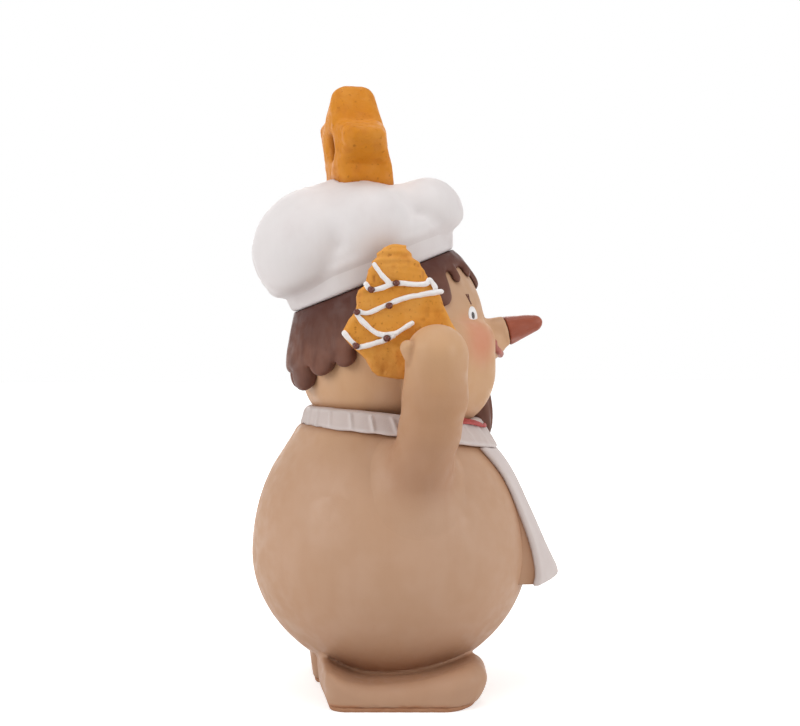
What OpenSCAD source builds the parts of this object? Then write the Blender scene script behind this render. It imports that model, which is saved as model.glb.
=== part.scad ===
// Gingerbread baker figurine: a hollow cast torso that carries glued-on legs, arms, head, hat,
// star cookie and tree cookie. Millimetres. +Z is up, the front is -Y, and the figure's right is -X.
// The origin lies on the floor, under the axis of the torso.

/* [Fits] */
// Gap that the glue fills between a piece and its seat
glue_gap = 0.15; // [0.1:0.05:0.25]
// Radial clearance of a spigot or pin in its bore
peg_gap = 0.1; // [0.05:0.05:0.2]

/* [Torso] */
// Radius of the torso at its waist
torso_r = 48.5; // [46:0.5:52]
// Height of the belly's lowest point above the floor
belly_lift = 3.5; // [2:0.5:8]
// Height of the dome above the waist
dome_h = 53; // [50:0.5:57]
// Depth of the belly below the waist
belly_h = 44; // [40:0.5:45]
// Wall of the hollow torso
torso_wall = 5; // [3:0.5:7]
// Radius of the flat neck seat on the dome
neck_r = 24; // [21:0.5:26]
// Radius of the neck spigot under the head
spigot_r = 13; // [10:0.5:16]
// Depth that the neck spigot reaches below the torso's top wall
spigot_past = 3; // [1:0.5:6]
// Diameter of the casting vent under the belly
vent_d = 8; // [4:1:12]

/* [Legs] */
// Length of a foot from heel to toe
foot_len = 57.5; // [50:0.5:64]
// Width of a foot
foot_w = 39; // [35:1:42]
// Rise of the toes above the belly's lowest point
foot_rise = 14; // [12.5:0.5:17]
// Rise of the heel above the belly's lowest point
heel_rise = 11; // [9:0.5:13]
// Rise of the saddle between toes and heel
saddle_rise = 5; // [4.5:0.25:6]
// How far the saddle lies behind the middle of the foot
saddle_back = 10; // [6:0.5:13]
// Radius of the saddle's hollow
saddle_r = 58; // [50:1:70]
// Rounding of the toes
foot_round = 8; // [6:0.5:8]
// Rounding of the heel
heel_round = 6; // [4:0.5:6]
// Rounding of the sole's edge at the saddle
edge_round = 3.5; // [2.5:0.25:4]
// Turn of the toes outwards
toe_out = 6.5; // [0:0.5:8]
// Gap between the feet
foot_gap = 8; // [7:0.5:12]
// How far the feet stand forward of the axis
foot_forward = 2.7; // [0:0.1:5]
// Thickness of the sole pads
pad_t = 1.6; // [1:0.1:3]
// How far a pad's edge lies inside its foot
pad_inset = 0.5; // [0.25:0.25:1.5]
// Radius of the leg pegs
leg_peg_r = 6; // [4:0.5:8]

/* [Head] */
// Radius of the skull
skull_r = 33; // [31:0.5:35]
// Height of the skull's centre above the neck seat
skull_lift = 32.4; // [30:0.1:33]
// Wall of the hollow head
head_wall = 6; // [4:0.5:8]
// Radius of a cheek
cheek_r = 17; // [15:0.5:18]
// Distance of a cheek's centre from the middle
cheek_x = 15; // [12:0.5:16]
// How far a cheek's centre lies in front of the skull's
cheek_forward = 19; // [16:0.5:21]
// How far a cheek's centre lies below the skull's
cheek_drop = 14.5; // [12:0.5:15.5]
// Radius of the muzzle under the nose
muzzle_r = 13; // [11:0.5:15]
// How far the muzzle's centre lies in front of the skull's
muzzle_forward = 24.5; // [22:0.5:26]
// How far the muzzle's centre lies below the skull's
muzzle_drop = 9.5; // [8:0.5:11]

/* [Face] */
// Radius of the nose where its tip begins
nose_r = 5; // [4:0.25:6]
// Radius of the nose's blunt end
nose_end_r = 2; // [1.5:0.25:3]
// Distance along the nose from the middle of the head to the start of its tip
nose_reach = 42.8; // [40:0.2:46]
// Length of the nose's tip
nose_len = 13.5; // [10:0.5:18]
// Upward tilt of the nose
nose_tilt = 15; // [5:1:20]
// How far the nose's line starts below the skull's centre
nose_drop = 12.4; // [9:0.1:14]
// Radius of the wire pin in the nose
nose_pin_r = 1; // [0.75:0.25:1.5]
// Radius of an eye
eye_r = 4; // [3:0.1:4.6]
// Radius of a pupil
pupil_r = 1.6; // [0.8:0.1:2.2]
// How far the eyes stand proud of the skull
eye_t = 0.7; // [0.4:0.1:1.2]
// Turn of each eye from the front
eye_turn = 26; // [20:1:32]
// Rise of each eye above the skull's centre
eye_rise = 10; // [8:1:16]
// Width of the smile
mouth_w = 13; // [9:0.5:16]
// Thickness of the lips
mouth_t = 1.3; // [0.8:0.1:2]
// Width of the beard
beard_w = 15; // [11:0.5:18]
// Length of the beard
beard_len = 22; // [18:0.5:24]
// Depth of the beard
beard_d = 8.5; // [7:0.5:10]
// Forward lean of the beard
beard_lean = 20; // [10:1:28]

/* [Hair] */
// Thickness of the icing hair over the skull
hair_t = 2; // [1.4:0.1:3]
// How much larger the hair's bulge at the back is than the skull
bulge_over = 1; // [0:0.1:2]
// How far the bulge lies behind the skull's centre
bulge_back = 2.2; // [1:0.1:3]
// How far the bulge lies below the skull's centre
bulge_drop = 8; // [6:0.5:10]
// Tilt of the hairline, its back down
hairline_tilt = 27.6; // [22:0.2:32]
// Height of the hairline over the skull's centre
hairline_rise = 4; // [2:0.5:6]
// Number of icing drips along the hairline
drip_count = 16; // [12:1:18]
// Radius of a drip
drip_r = 4.6; // [3.5:0.1:5]

/* [Hat] */
// Backward tilt of the hat
hat_tilt = 21.8; // [14:0.2:26]
// Distance from the skull's centre to the hat's seat
hat_seat = 17.2; // [15:0.2:20]
// How far the hat band stands out past the skull
band_over = 1.6; // [1:0.1:3]
// Height of the hat band
band_h = 8; // [6:0.5:11]
// Number of puffs around the crown
puff_count = 8; // [6:1:10]
// Radius of a middle puff
puff_r = 15.9; // [14.5:0.1:17]
// How much a back puff is larger, and a front puff smaller, than a middle one
puff_swing = 4.2; // [3:0.1:5]
// Radius of the crown's core
core_r = 24; // [22:0.5:26]
// Length of the ring of puffs from the middle to the back
ring_y = 22.3; // [20:0.1:24]
// Width of the ring of puffs from the middle to the side
ring_x = 19; // [17:0.1:20]
// Height of the puffs' middle above the band
crown_lift = 7.5; // [6:0.5:9]
// How far the crown leans forward over the band
crown_forward = 4; // [2:0.5:6]
// Radius of the wooden hat dowel
dowel_r = 4; // [3:0.25:5]
// Depth of the dowel in the head
dowel_in_head = 5; // [3:0.5:8]
// Depth of the dowel in the crown
dowel_in_crown = 9; // [6:0.5:12]

/* [Star cookie] */
// Radius of the star's points
star_r = 25; // [22:0.5:28]
// Radius of the star's inner corners
star_inner_r = 13; // [11:0.5:15]
// Rounding of the star's points
star_round = 2.5; // [1.5:0.25:4]
// Thickness of the star at its legs
star_t = 22; // [18:0.5:24]
// Thickness of the star at its top point
star_top_t = 11.5; // [9:0.5:15]
// Diameter of the hole through the star
star_hole_d = 9; // [6:0.5:11]
// Depth of the star's legs below the top of the crown's core
star_sink = 11.5; // [9:0.5:13]
// Turn of the star about the vertical
star_turn = 6.5; // [0:0.5:12]
// Lean of the star towards the back
star_lean = 3.5; // [0:0.5:6]
// How far the star's middle lies behind the crown's core
star_back = 5.5; // [3:0.5:8]
// Radius of the wire pins under the star
star_pin_r = 1.25; // [0.75:0.25:1.75]
// Length of a wire pin on each side of the star's foot
star_pin_half = 6; // [4:0.5:8]

/* [Arms] */
// Radius of the raised arm
arm_r = 10.4; // [9:0.1:11.5]
// Height of the shoulders above the waist
shoulder_up = 25.5; // [23:0.5:28]
// How far the shoulders lie in front of the axis
shoulder_forward = 7; // [4:0.5:10]
// How deep a shoulder's centre lies inside the torso's surface
shoulder_sink = 4; // [2:0.5:5]
// Height of the raised hand above the shoulder
hand_up = 43.5; // [40:0.5:46]
// How far the raised hand's centre lies in front of the axis
hand_forward = 10.3; // [7:0.1:13]
// How far the raised hand's centre lies outside the cookie's face
hand_out = 5.5; // [4:0.5:7]
// Room above and below the ruffle where it runs behind the raised arm
relief_room = 1.2; // [1:0.1:2]
// Radius of the arm pegs
arm_peg_r = 4.5; // [3:0.5:6]
// Radius of the lowered arm
left_arm_r = 9.3; // [8:0.1:10.5]
// How far the lowered elbow stands out from the waist
elbow_out = 4.6; // [3:0.1:6]
// Height of the lowered elbow above the waist
elbow_up = 9.3; // [6:0.1:12]
// Turn of the lowered hand from the front, around the waist
left_hand_turn = 49; // [46:1:56]
// Height of the lowered hand above the waist
left_hand_up = 4.6; // [1:0.1:8]
// Radius of the lowered hand
left_hand_r = 8.6; // [7.5:0.1:9.5]

/* [Tree cookie] */
// Height of the tree
tree_h = 43; // [39:0.5:47]
// Width of the tree's lowest branches
tree_w = 37; // [33:0.5:40]
// Thickness of the cookie
tree_t = 6; // [4:0.5:7]
// Rounding of the tree's corners
tree_round = 2; // [1:0.25:2.5]
// How far the foot of the tree hangs below the hand's centre
tree_drop = 7.5; // [5:0.5:9]
// Air between the cookie and the side of the hair
tree_air = 1.2; // [0.5:0.1:3]
// How far the tree's middle lies behind the axis
tree_back = 2; // [0:0.5:4]
// Roll of the tree, its front side up
tree_roll = 4; // [0:1:8]
// Width of an icing line
icing_w = 2.2; // [1.6:0.1:2.8]
// Height of an icing line
icing_h = 1.4; // [0.8:0.1:2]
// Radius of a chocolate bead
bead_r = 1.7; // [1.3:0.1:2.1]
// Height of a chocolate bead
bead_h = 2; // [1.4:0.1:2.6]
// Radius of the wire pin through hand and cookie
cookie_pin_r = 1; // [0.75:0.25:1.5]
// Length of the wire pin in the hand
cookie_pin_len = 5; // [3:0.5:7]

/* [Ruffle and apron] */
// How far the ruffle's middle lies below the neck seat, at the sides
ruffle_drop = 4; // [3:0.1:6]
// How far the ruffle falls towards the front and rises towards the back
ruffle_swing = 4.9; // [2:0.1:6]
// Height of the ruffle band
ruffle_h = 7; // [5:0.25:8.5]
// Thickness of the ruffle band
ruffle_t = 2.2; // [1.6:0.1:3]
// Number of gathers in the ruffle
gather_count = 30; // [20:1:40]
// Depth of a gather
gather_d = 0.35; // [0.1:0.05:0.6]
// Thickness of the apron
apron_t = 1.8; // [1.2:0.1:2.6]
// Half of the apron's width at the top
apron_top_half = 22; // [19:0.5:24]
// Half of the apron's width at the hem
apron_hem_half = 21; // [19:0.5:24]
// How far the hem lies below the waist
hem_drop = 9; // [2:0.5:13]
// How far the hem's middle stands out past the waist
hem_out = 10.8; // [8:0.1:13]
// Radius of the apron's curve at its top
apron_curve = 32; // [29:0.5:36]
// Radius of the apron's curve at its hem
hem_curve = 18; // [16:0.5:22]
// How far the backing's sides lie inside the apron's
backing_inset = 2; // [1:0.5:4]
// Least thickness of the backing at the hem
backing_t = 1.5; // [1:0.1:2]

/* [Bow tie] */
// Half of the bow's width
bow_half = 14; // [11:0.5:16]
// Height of the bow's wings at their ends
bow_h = 3.8; // [3:0.1:4.2]
// Thickness of the bow
bow_t = 2.4; // [2:0.1:3]
// Radius of the bow's knot
knot_r = 2.7; // [2:0.1:3]
// Angle by which the bow's wings sweep back around the neck
bow_sweep = 15; // [8:1:22]

/* [Hidden] */
$fn = 48;
hull_fn = 32;
outline_steps = 24;
end_step = 15;
far = 300;
bite = 1;
waist_z = belly_lift + belly_h;
neck_z = waist_z + dome_h * sqrt(1 - pow(neck_r / torso_r, 2));
skull_z = neck_z + skull_lift;
foot_x = (foot_gap + foot_w) / 2;
toe_top_z = belly_lift + foot_rise;
heel_top_z = belly_lift + heel_rise;
saddle_top_z = belly_lift + saddle_rise;
shoulder_z = waist_z + shoulder_up;
hand_z = shoulder_z + hand_up;
tree_face_x = skull_r + hair_t + tree_air + tree_t;
hand_x = tree_face_x + hand_out;
band_r = sqrt(pow(skull_r, 2) - pow(hat_seat, 2)) + band_over;
bulge_r = skull_r + bulge_over;
skin_tone = "#C79A74";
body_tone = "#C09478";
chocolate = "#6B4A42";
icing_white = "#F2EEEC";
cookie_gold = "#D98F36";
ribbon_red = "#A8322E";
bare_wood = "#C9A66B";
bare_wire = "#9A9A9A";
pad_brown = "#A8764E";
nose_rust = "#9A4A32";
lip_red = "#B0625A";
pupil_dark = "#3A3033";

// Torso
function torso_r_at(z) =
    torso_r * sqrt(max(0, 1 - pow((z - waist_z) / (z > waist_z ? dome_h : belly_h), 2)));
function dome_z_at(r) = waist_z + dome_h * sqrt(max(0, 1 - pow(r / torso_r, 2)));
function belly_z_at(r) = waist_z - belly_h * sqrt(max(0, 1 - pow(r / torso_r, 2)));

function torso_side(r, up, down, top) = let (last = asin(min(1, (top - waist_z) / up))) concat(
    [for (i = [0 : outline_steps - 1]) let (a = 90 * i / outline_steps - 90)
        [r * cos(a), waist_z + down * sin(a)]],
    [for (i = [0 : outline_steps]) let (a = last * i / outline_steps) [r * cos(a), waist_z + up * sin(a)]],
    [[0, top]]
);

module torso_form(grow = 0) {
    rotate_extrude()
        polygon(torso_side(torso_r + grow, dome_h + grow, belly_h + grow, neck_z + grow));
}

module torso() {
    color(body_tone)
    difference() {
        torso_form();
        torso_form(-torso_wall);
        translate([0, 0, waist_z]) cylinder(r = spigot_r + peg_gap, h = far);
        translate([0, 0, -bite]) cylinder(d = vent_d, h = waist_z);
        for (side = [-1, 1]) {
            leg_peg(side, peg_gap);
            arm_peg(side, peg_gap);
        }
    }
}

// Legs
module leg_peg(side, grow = 0) {
    peg_top = belly_z_at(norm([foot_x, foot_forward])) + torso_wall + bite;
    translate([side * foot_x, -foot_forward, pad_t + bite])
        cylinder(r = leg_peg_r + grow, h = peg_top - pad_t);
}

module foot_place(side) {
    translate([side * foot_x, -foot_forward, 0]) rotate([0, 0, side * toe_out]) children();
}

module foot_corners(end, r, top_z) {
    for (x = [-1, 1], z = [r, top_z - r])
        translate([x * (foot_w / 2 - r), end * (foot_len / 2 - r), z]) sphere(r, $fn = hull_fn);
}

module foot_form() {
    difference() {
        hull() {
            foot_corners(-1, foot_round, toe_top_z);
            foot_corners(1, heel_round, heel_top_z);
            for (x = [-1, 1])
                translate([x * (foot_w / 2 - edge_round), saddle_back, pad_t]) sphere(edge_round, $fn = hull_fn);
        }
        translate([0, saddle_back, saddle_top_z + saddle_r]) rotate([0, 90, 0])
            cylinder(r = saddle_r, h = far, center = true);
    }
}

module leg(side) {
    color(body_tone) {
        difference() {
            foot_place(side) foot_form();
            translate([-far / 2, -far / 2, pad_t - far]) cube(far);
            torso_form(glue_gap);
        }
        leg_peg(side);
    }
}

// Radius of a rounded end where the pad's top cuts it
function sole_r(end_round) = sqrt(pow(end_round, 2) - pow(end_round - pad_t, 2));

module sole_end(end, end_round) {
    hull()
        for (x = [-1, 1]) {
            translate([x * (foot_w / 2 - end_round), end * (foot_len / 2 - end_round)])
                circle(sole_r(end_round) - pad_inset);
            translate([x * (foot_w / 2 - edge_round), saddle_back]) circle(edge_round - pad_inset);
        }
}

module sole_pads() {
    color(pad_brown)
    for (side = [-1, 1])
        foot_place(side) linear_extrude(pad_t) {
            sole_end(-1, foot_round);
            sole_end(1, heel_round);
        }
}

// Head
module head_place() {
    translate([0, 0, skull_z]) children();
}

module hat_place(along = 0) {
    head_place() rotate([-hat_tilt, 0, 0]) translate([0, 0, hat_seat + along]) children();
}

module above_hat_plane(along = 0) {
    hat_place(along) translate([-far / 2, -far / 2, 0]) cube(far);
}

module head_form(grow = 0) {
    head_place() {
        sphere(skull_r + grow);
        translate([0, 0, -skull_lift]) cylinder(r = neck_r + grow, h = skull_lift / 2);
        for (side = [-1, 1])
            translate([side * cheek_x, -cheek_forward, -cheek_drop]) sphere(cheek_r + grow);
        translate([0, -muzzle_forward, -muzzle_drop]) sphere(muzzle_r + grow);
    }
}

module nose_place() {
    head_place() translate([0, 0, -nose_drop]) rotate([90 - nose_tilt, 0, 0])
        translate([0, 0, nose_reach]) children();
}

module nose_bore(grow = 0) {
    nose_place() cylinder(r = nose_pin_r + grow, h = nose_len, center = true);
}

module dowel_form(grow = 0) {
    hat_place(-dowel_in_head) cylinder(r = dowel_r + grow, h = dowel_in_head + band_h + dowel_in_crown);
}

module head() {
    spigot_low = neck_z - torso_wall - spigot_past;
    color(skin_tone)
    difference() {
        union() {
            difference() {
                head_form();
                above_hat_plane();
            }
            nose_place() mirror([0, 0, 1]) cylinder(r = nose_r, h = nose_reach - muzzle_forward);
            translate([0, 0, spigot_low]) cylinder(r = spigot_r, h = neck_z - spigot_low + bite);
        }
        difference() {
            head_place() sphere(skull_r - head_wall);
            above_hat_plane(-head_wall);
        }
        translate([0, 0, spigot_low - bite]) cylinder(r = spigot_r - head_wall / 2, h = skull_lift);
        dowel_form(peg_gap);
        nose_bore(peg_gap);
    }
}

// Face
module nose_tip() {
    color(nose_rust)
    difference() {
        nose_place() translate([0, 0, glue_gap]) rotate_extrude() polygon(concat(
            [[0, 0], [nose_r, 0]],
            [for (a = [0 : end_step : 90]) [nose_end_r * cos(a), nose_len - nose_end_r + nose_end_r * sin(a)]]
        ));
        nose_bore(peg_gap);
    }
}

module nose_pin() {
    color(bare_wire) nose_bore();
}

module eye_place(side) {
    head_place() rotate([90 - eye_rise, 0, 0]) rotate([0, side * eye_turn, 0]) children();
}

module eye_lens(r, inner, outer) {
    intersection() {
        difference() {
            sphere(outer);
            sphere(inner);
        }
        cylinder(r = r, h = far);
    }
}

module eye_whites() {
    color(icing_white)
    for (side = [-1, 1])
        eye_place(side) eye_lens(eye_r, skull_r + glue_gap, skull_r + eye_t);
}

module pupils() {
    color(pupil_dark)
    for (side = [-1, 1])
        eye_place(side) eye_lens(pupil_r, skull_r + eye_t, skull_r + 2 * eye_t);
}

module mouth() {
    bend = mouth_w / 2;
    color(lip_red)
    difference() {
        head_place() translate([0, -muzzle_forward, -muzzle_drop]) rotate([90, 0, 0])
            intersection() {
                translate([0, bend / 2, 0]) difference() {
                    cylinder(r = bend, h = muzzle_r + mouth_t);
                    cylinder(r = bend - 2 * mouth_t, h = far, center = true);
                    translate([-far / 2, -bend / 2, -far / 2]) cube(far);
                }
                sphere(muzzle_r + mouth_t);
            }
        head_form(glue_gap);
    }
}

module beard() {
    chin = [0, -muzzle_forward - muzzle_r / 2, -muzzle_drop - muzzle_r];
    color(chocolate)
    difference() {
        head_place() translate(chin) rotate([-beard_lean, 0, 0]) translate([0, 0, -beard_len / 4])
            scale([beard_w / beard_len, beard_d / beard_len, 1]) sphere(beard_len / 2);
        head_form(glue_gap);
        torso_form(glue_gap);
    }
}

// Hair
function drip_sink(turn) = asin((hairline_rise + skull_r * tan(hairline_tilt) * cos(turn) - drip_r / 2) / bulge_r);

module hair_cover() {
    rotate([-hairline_tilt, 0, 0])
        translate([-far / 2, -far / 2, hairline_rise * cos(hairline_tilt)]) cube(far);
    for (i = [0 : drip_count - 1]) let (turn = 360 * i / drip_count)
        rotate([0, 0, turn]) rotate([90 - drip_sink(turn), 0, 0])
            translate([0, 0, skull_r - head_wall]) cylinder(r = drip_r, h = far);
}

module hair() {
    color(chocolate)
    difference() {
        head_place() intersection() {
            union() {
                sphere(skull_r + hair_t);
                translate([0, bulge_back, -bulge_drop]) sphere(bulge_r);
            }
            hair_cover();
        }
        head_form(glue_gap);
        above_hat_plane(-glue_gap);
    }
}

// Hat
module hat_band() {
    color(icing_white)
    difference() {
        hat_place() cylinder(r = band_r, h = band_h);
        dowel_form(peg_gap);
    }
}

// How far the back puffs stand above the middle ones, and the core above them all
crown_slope = 2.8;
core_over = 5;

module crown_form() {
    hat_place(band_h + crown_lift) translate([0, -crown_forward, 0]) {
        translate([0, 0, puff_r + core_over - core_r]) sphere(core_r);
        for (i = [0 : puff_count - 1]) let (turn = 360 * (i + 0.5) / puff_count)
            translate([ring_x * sin(turn), ring_y * cos(turn), crown_slope * cos(turn)])
                sphere(puff_r + puff_swing * cos(turn));
    }
}

module hat_crown() {
    color(icing_white)
    difference() {
        crown_form();
        hat_place(band_h) translate([-far / 2, -far / 2, -far]) cube(far);
        star_body(glue_gap);
        star_pin_bores(peg_gap);
        dowel_form(peg_gap);
    }
}

module hat_dowel() {
    color(bare_wood) dowel_form();
}

// Star cookie
core_up = hat_seat + band_h + crown_lift + puff_r + core_over - core_r;
core_y = core_up * sin(hat_tilt) - crown_forward * cos(hat_tilt);
core_z = skull_z + core_up * cos(hat_tilt) + crown_forward * sin(hat_tilt);
star_leg_turn = 36;
star_z = core_z + core_r - star_sink + star_r * cos(star_leg_turn);

module star_place() {
    translate([0, core_y + star_back, star_z]) rotate([0, 0, star_turn]) rotate([90 - star_lean, 0, 0]) children();
}

module star_outline() {
    offset(r = star_round) offset(delta = -star_round)
        polygon([for (i = [0 : 9]) let (r = i % 2 == 0 ? star_r : star_inner_r)
            r * [sin(star_leg_turn * i), cos(star_leg_turn * i)]]);
}

module star_body(grow = 0) {
    low = star_t / 2 + grow;
    high = star_top_t / 2 + grow;
    reach = star_r + grow;
    star_place() intersection() {
        linear_extrude(far, center = true) offset(r = grow) star_outline();
        rotate([90, 0, 90]) linear_extrude(far, center = true)
            polygon([[-reach, -low], [reach, -high], [reach, high], [-reach, low]]);
    }
}

module star_pin_bores(grow = 0) {
    for (side = [-1, 1])
        star_place() translate([side, -1, 0] * star_inner_r * cos(star_leg_turn))
            rotate([90, 0, 0]) translate([0, 0, star_inner_r / 2])
                cylinder(r = star_pin_r + grow, h = 2 * star_pin_half, center = true);
}

module star_cookie() {
    color(cookie_gold)
    difference() {
        star_body();
        star_place() cylinder(d = star_hole_d, h = far, center = true);
        star_pin_bores(peg_gap);
    }
}

module star_pins() {
    color(bare_wire) star_pin_bores();
}

// Arms
shoulder_x = torso_r_at(shoulder_z) - shoulder_sink;

module arm_peg(side, grow = 0) {
    translate([side * (shoulder_x + shoulder_sink + bite), -shoulder_forward, shoulder_z])
        rotate([0, -side * 90, 0])
            cylinder(r = arm_peg_r + grow, h = shoulder_sink + torso_wall + 2 * bite);
}

module limb(from, to, r_from, r_to) {
    hull() {
        translate(from) sphere(r_from, $fn = hull_fn);
        translate(to) sphere(r_to, $fn = hull_fn);
    }
}

// Room in the raised arm for the ruffle that runs behind it
module ruffle_relief() {
    arm_turn = atan2(shoulder_x, shoulder_forward);
    low = ruffle_mid(arm_turn) - ruffle_h / 2 - relief_room;
    translate([0, 0, low])
        cylinder(r = torso_r_at(low) + 2 * glue_gap + ruffle_t + gather_d, h = ruffle_h + 2 * relief_room);
}

module right_arm() {
    color(skin_tone) {
        difference() {
            limb([-shoulder_x, -shoulder_forward, shoulder_z], [-hand_x, -hand_forward, hand_z], arm_r, arm_r);
            torso_form(glue_gap);
            ruffle_relief();
            tree_body(glue_gap);
            cookie_pin_bore(peg_gap);
        }
        arm_peg(-1);
    }
}

module left_arm() {
    elbow = [torso_r + elbow_out, -shoulder_forward, waist_z + elbow_up];
    hand_reach = torso_r + left_hand_r / 2;
    hand = [hand_reach * sin(left_hand_turn), -hand_reach * cos(left_hand_turn), waist_z + left_hand_up];
    color(skin_tone) {
        difference() {
            union() {
                limb([shoulder_x, -shoulder_forward, shoulder_z], elbow, left_arm_r, left_arm_r);
                limb(elbow, hand, left_arm_r, left_hand_r);
            }
            torso_form(glue_gap);
        }
        arm_peg(1);
    }
}

// Tree cookie
// Points of the tree, as shares of its width from the middle and of its height from the foot
half_tree = [[0.16, 0], [0.28, 0.14], [0.5, 0.35], [0.36, 0.5], [0.4, 0.56], [0.27, 0.68], [0.3, 0.73], [0.1, 1]];
garlands = [
    [[-0.28, 0.72], [-0.05, 0.70], [0.27, 0.78]],
    [[-0.2, 0.88], [-0.05, 0.70]],
    [[-0.36, 0.54], [-0.1, 0.58], [0.34, 0.66]],
    [[-0.38, 0.50], [-0.26, 0.4], [-0.09, 0.37], [0.1, 0.45]],
    [[-0.47, 0.37], [-0.36, 0.28], [-0.09, 0.33]]
];
beads = [[-0.05, 0.71], [-0.25, 0.71], [-0.1, 0.58], [-0.36, 0.53], [-0.36, 0.29], [-0.09, 0.35]];

function on_tree(p) = [p[0] * tree_w, p[1] * tree_h];

module tree_place() {
    translate([-tree_face_x, tree_back, hand_z - tree_drop]) rotate([tree_roll, 0, 0]) rotate([90, 0, -90])
        children();
}

module tree_outline() {
    other_half = [for (i = [len(half_tree) - 1 : -1 : 0]) [-half_tree[i][0], half_tree[i][1]]];
    offset(r = tree_round) offset(delta = -tree_round)
        polygon([for (p = concat(half_tree, other_half)) on_tree(p)]);
}

module tree_body(grow = 0) {
    tree_place() translate([0, 0, -tree_t - grow])
        linear_extrude(tree_t + 2 * grow) offset(r = grow) tree_outline();
}

module cookie_pin_bore(grow = 0) {
    translate([bite - tree_face_x, -hand_forward, hand_z]) rotate([0, -90, 0])
        cylinder(r = cookie_pin_r + grow, h = cookie_pin_len + bite);
}

module tree_cookie() {
    color(cookie_gold)
    difference() {
        tree_body();
        cookie_pin_bore(peg_gap);
    }
}

module garland(points) {
    for (i = [1 : len(points) - 1])
        hull()
            for (p = [points[i - 1], points[i]]) translate(on_tree(p)) circle(d = icing_w);
}

module tree_icing() {
    color(icing_white)
    tree_place() linear_extrude(icing_h) difference() {
        intersection() {
            for (points = garlands) garland(points);
            tree_outline();
        }
        for (p = beads) translate(on_tree(p)) circle(r = bead_r + glue_gap);
    }
}

module chocolate_beads() {
    color(chocolate)
    for (p = beads)
        tree_place() translate(on_tree(p)) cylinder(r1 = bead_r, r2 = bead_r / 2, h = bead_h);
}

module cookie_pin() {
    color(bare_wire) cookie_pin_bore();
}

// Neck ruffle and apron
function closed_grid(rows, cols) = concat(
    [for (i = [0 : rows - 2], j = [0 : cols - 1])
        let (a = i * cols + j, b = i * cols + (j + 1) % cols) [a, b, b + cols, a + cols]],
    [for (j = [0 : cols / 2 - 2]) [cols - 1 - j, cols - 2 - j, j + 1, j]],
    [for (j = [0 : cols / 2 - 2]) let (last = (rows - 1) * cols)
        [last + j, last + j + 1, last + cols - 2 - j, last + cols - 1 - j]]
);

steps_per_gather = 4;
ruffle_steps = steps_per_gather * gather_count;
function ruffle_mid(turn) = neck_z - ruffle_drop - ruffle_swing * cos(turn);
function ruffle_section(turn) =
    let (
        low = ruffle_mid(turn) - ruffle_h / 2,
        high = ruffle_mid(turn) + ruffle_h / 2,
        seat = torso_r_at(low) + glue_gap,
        out = seat + ruffle_t + gather_d * sin(gather_count * turn),
        top_in = max(torso_r_at(high) + glue_gap, out - ruffle_t)
    )
    [for (p = [[seat, low], [out, low], [out, high], [top_in, high]]) [p[0] * sin(turn), -p[0] * cos(turn), p[1]]];

module neck_ruffle() {
    sections = [for (i = [0 : ruffle_steps - 1]) ruffle_section(360 * i / ruffle_steps)];
    corners = len(sections[0]);
    faces = [for (i = [0 : ruffle_steps - 1], j = [0 : corners - 1])
        let (a = corners * i, b = corners * ((i + 1) % ruffle_steps), k = (j + 1) % corners)
        [a + j, b + j, b + k, a + k]];
    color(icing_white) polyhedron([for (section = sections, p = section) p], faces);
}

apron_rows = 20;
apron_cols = 20;
hem_z = waist_z - hem_drop;
apron_top_z = ruffle_mid(0) - ruffle_h / 2 - glue_gap;
apron_top_seat = 3 * glue_gap;
apron_top_reach = torso_r_at(apron_top_z) + apron_top_seat + apron_t;
apron_ease = 1;
hem_reach = torso_r + hem_out;
function apron_share(z) = (apron_top_z - z) / (apron_top_z - hem_z);
function apron_half(z) = apron_top_half + (apron_hem_half - apron_top_half) * apron_share(z);
function apron_curve_at(z) = apron_curve + (hem_curve - apron_curve) * apron_share(z);
function apron_flare(x, z) =
    apron_top_reach + (hem_reach - apron_top_reach) * apron_share(z) - x * x / (2 * apron_curve_at(z));
function torso_reach(x, z, grow) = sqrt(max(0, pow(torso_r_at(z) + grow, 2) - x * x));
function apron_seat(z) = apron_top_seat + backing_t * apron_share(z);
function eased_max(a, b) = (a + b + norm([a - b, apron_ease])) / 2;
function apron_front(x, z) = eased_max(apron_flare(x, z), torso_reach(x, z, apron_seat(z) + apron_t));
function apron_back(x, z) = apron_front(x, z) - apron_t;
function backing_seat(x, z) = torso_reach(x, z, glue_gap);
function backing_front(x, z) = apron_back(x, z) - glue_gap;

// One level of a sheet: its front edge from right to left, then its back edge from left to right
function across(half) = [for (j = [0 : apron_cols]) half * (2 * j / apron_cols - 1)];

module apron() {
    levels = [for (i = [0 : apron_rows])
        let (z = hem_z + (apron_top_z - hem_z) * i / apron_rows, xs = across(apron_half(z)))
        concat([for (x = xs) [x, -apron_front(x, z), z]], [for (x = xs) [-x, -apron_back(x, z), z]])];
    color(icing_white)
        polyhedron([for (level = levels, p = level) p], closed_grid(apron_rows + 1, 2 * apron_cols + 2));
}

module apron_backing() {
    top_z = (waist_z + apron_top_z) / 2;
    levels = [for (i = [0 : apron_rows])
        let (z = hem_z + (top_z - hem_z) * i / apron_rows, xs = across(apron_half(z) - backing_inset))
        concat([for (x = xs) [x, -backing_front(x, z), z]], [for (x = xs) [-x, -backing_seat(x, z), z]])];
    color(body_tone)
        polyhedron([for (level = levels, p = level) p], closed_grid(apron_rows + 1, 2 * apron_cols + 2));
}

// Bow tie
bow_reach = neck_r + knot_r + bite;
bow_z = dome_z_at(bow_reach) + knot_r / 2;

module bow_place() {
    translate([0, -bow_reach, bow_z]) children();
}

module bow_knot() {
    color(ribbon_red)
    difference() {
        bow_place() sphere(knot_r);
        torso_form(glue_gap);
    }
}

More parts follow.
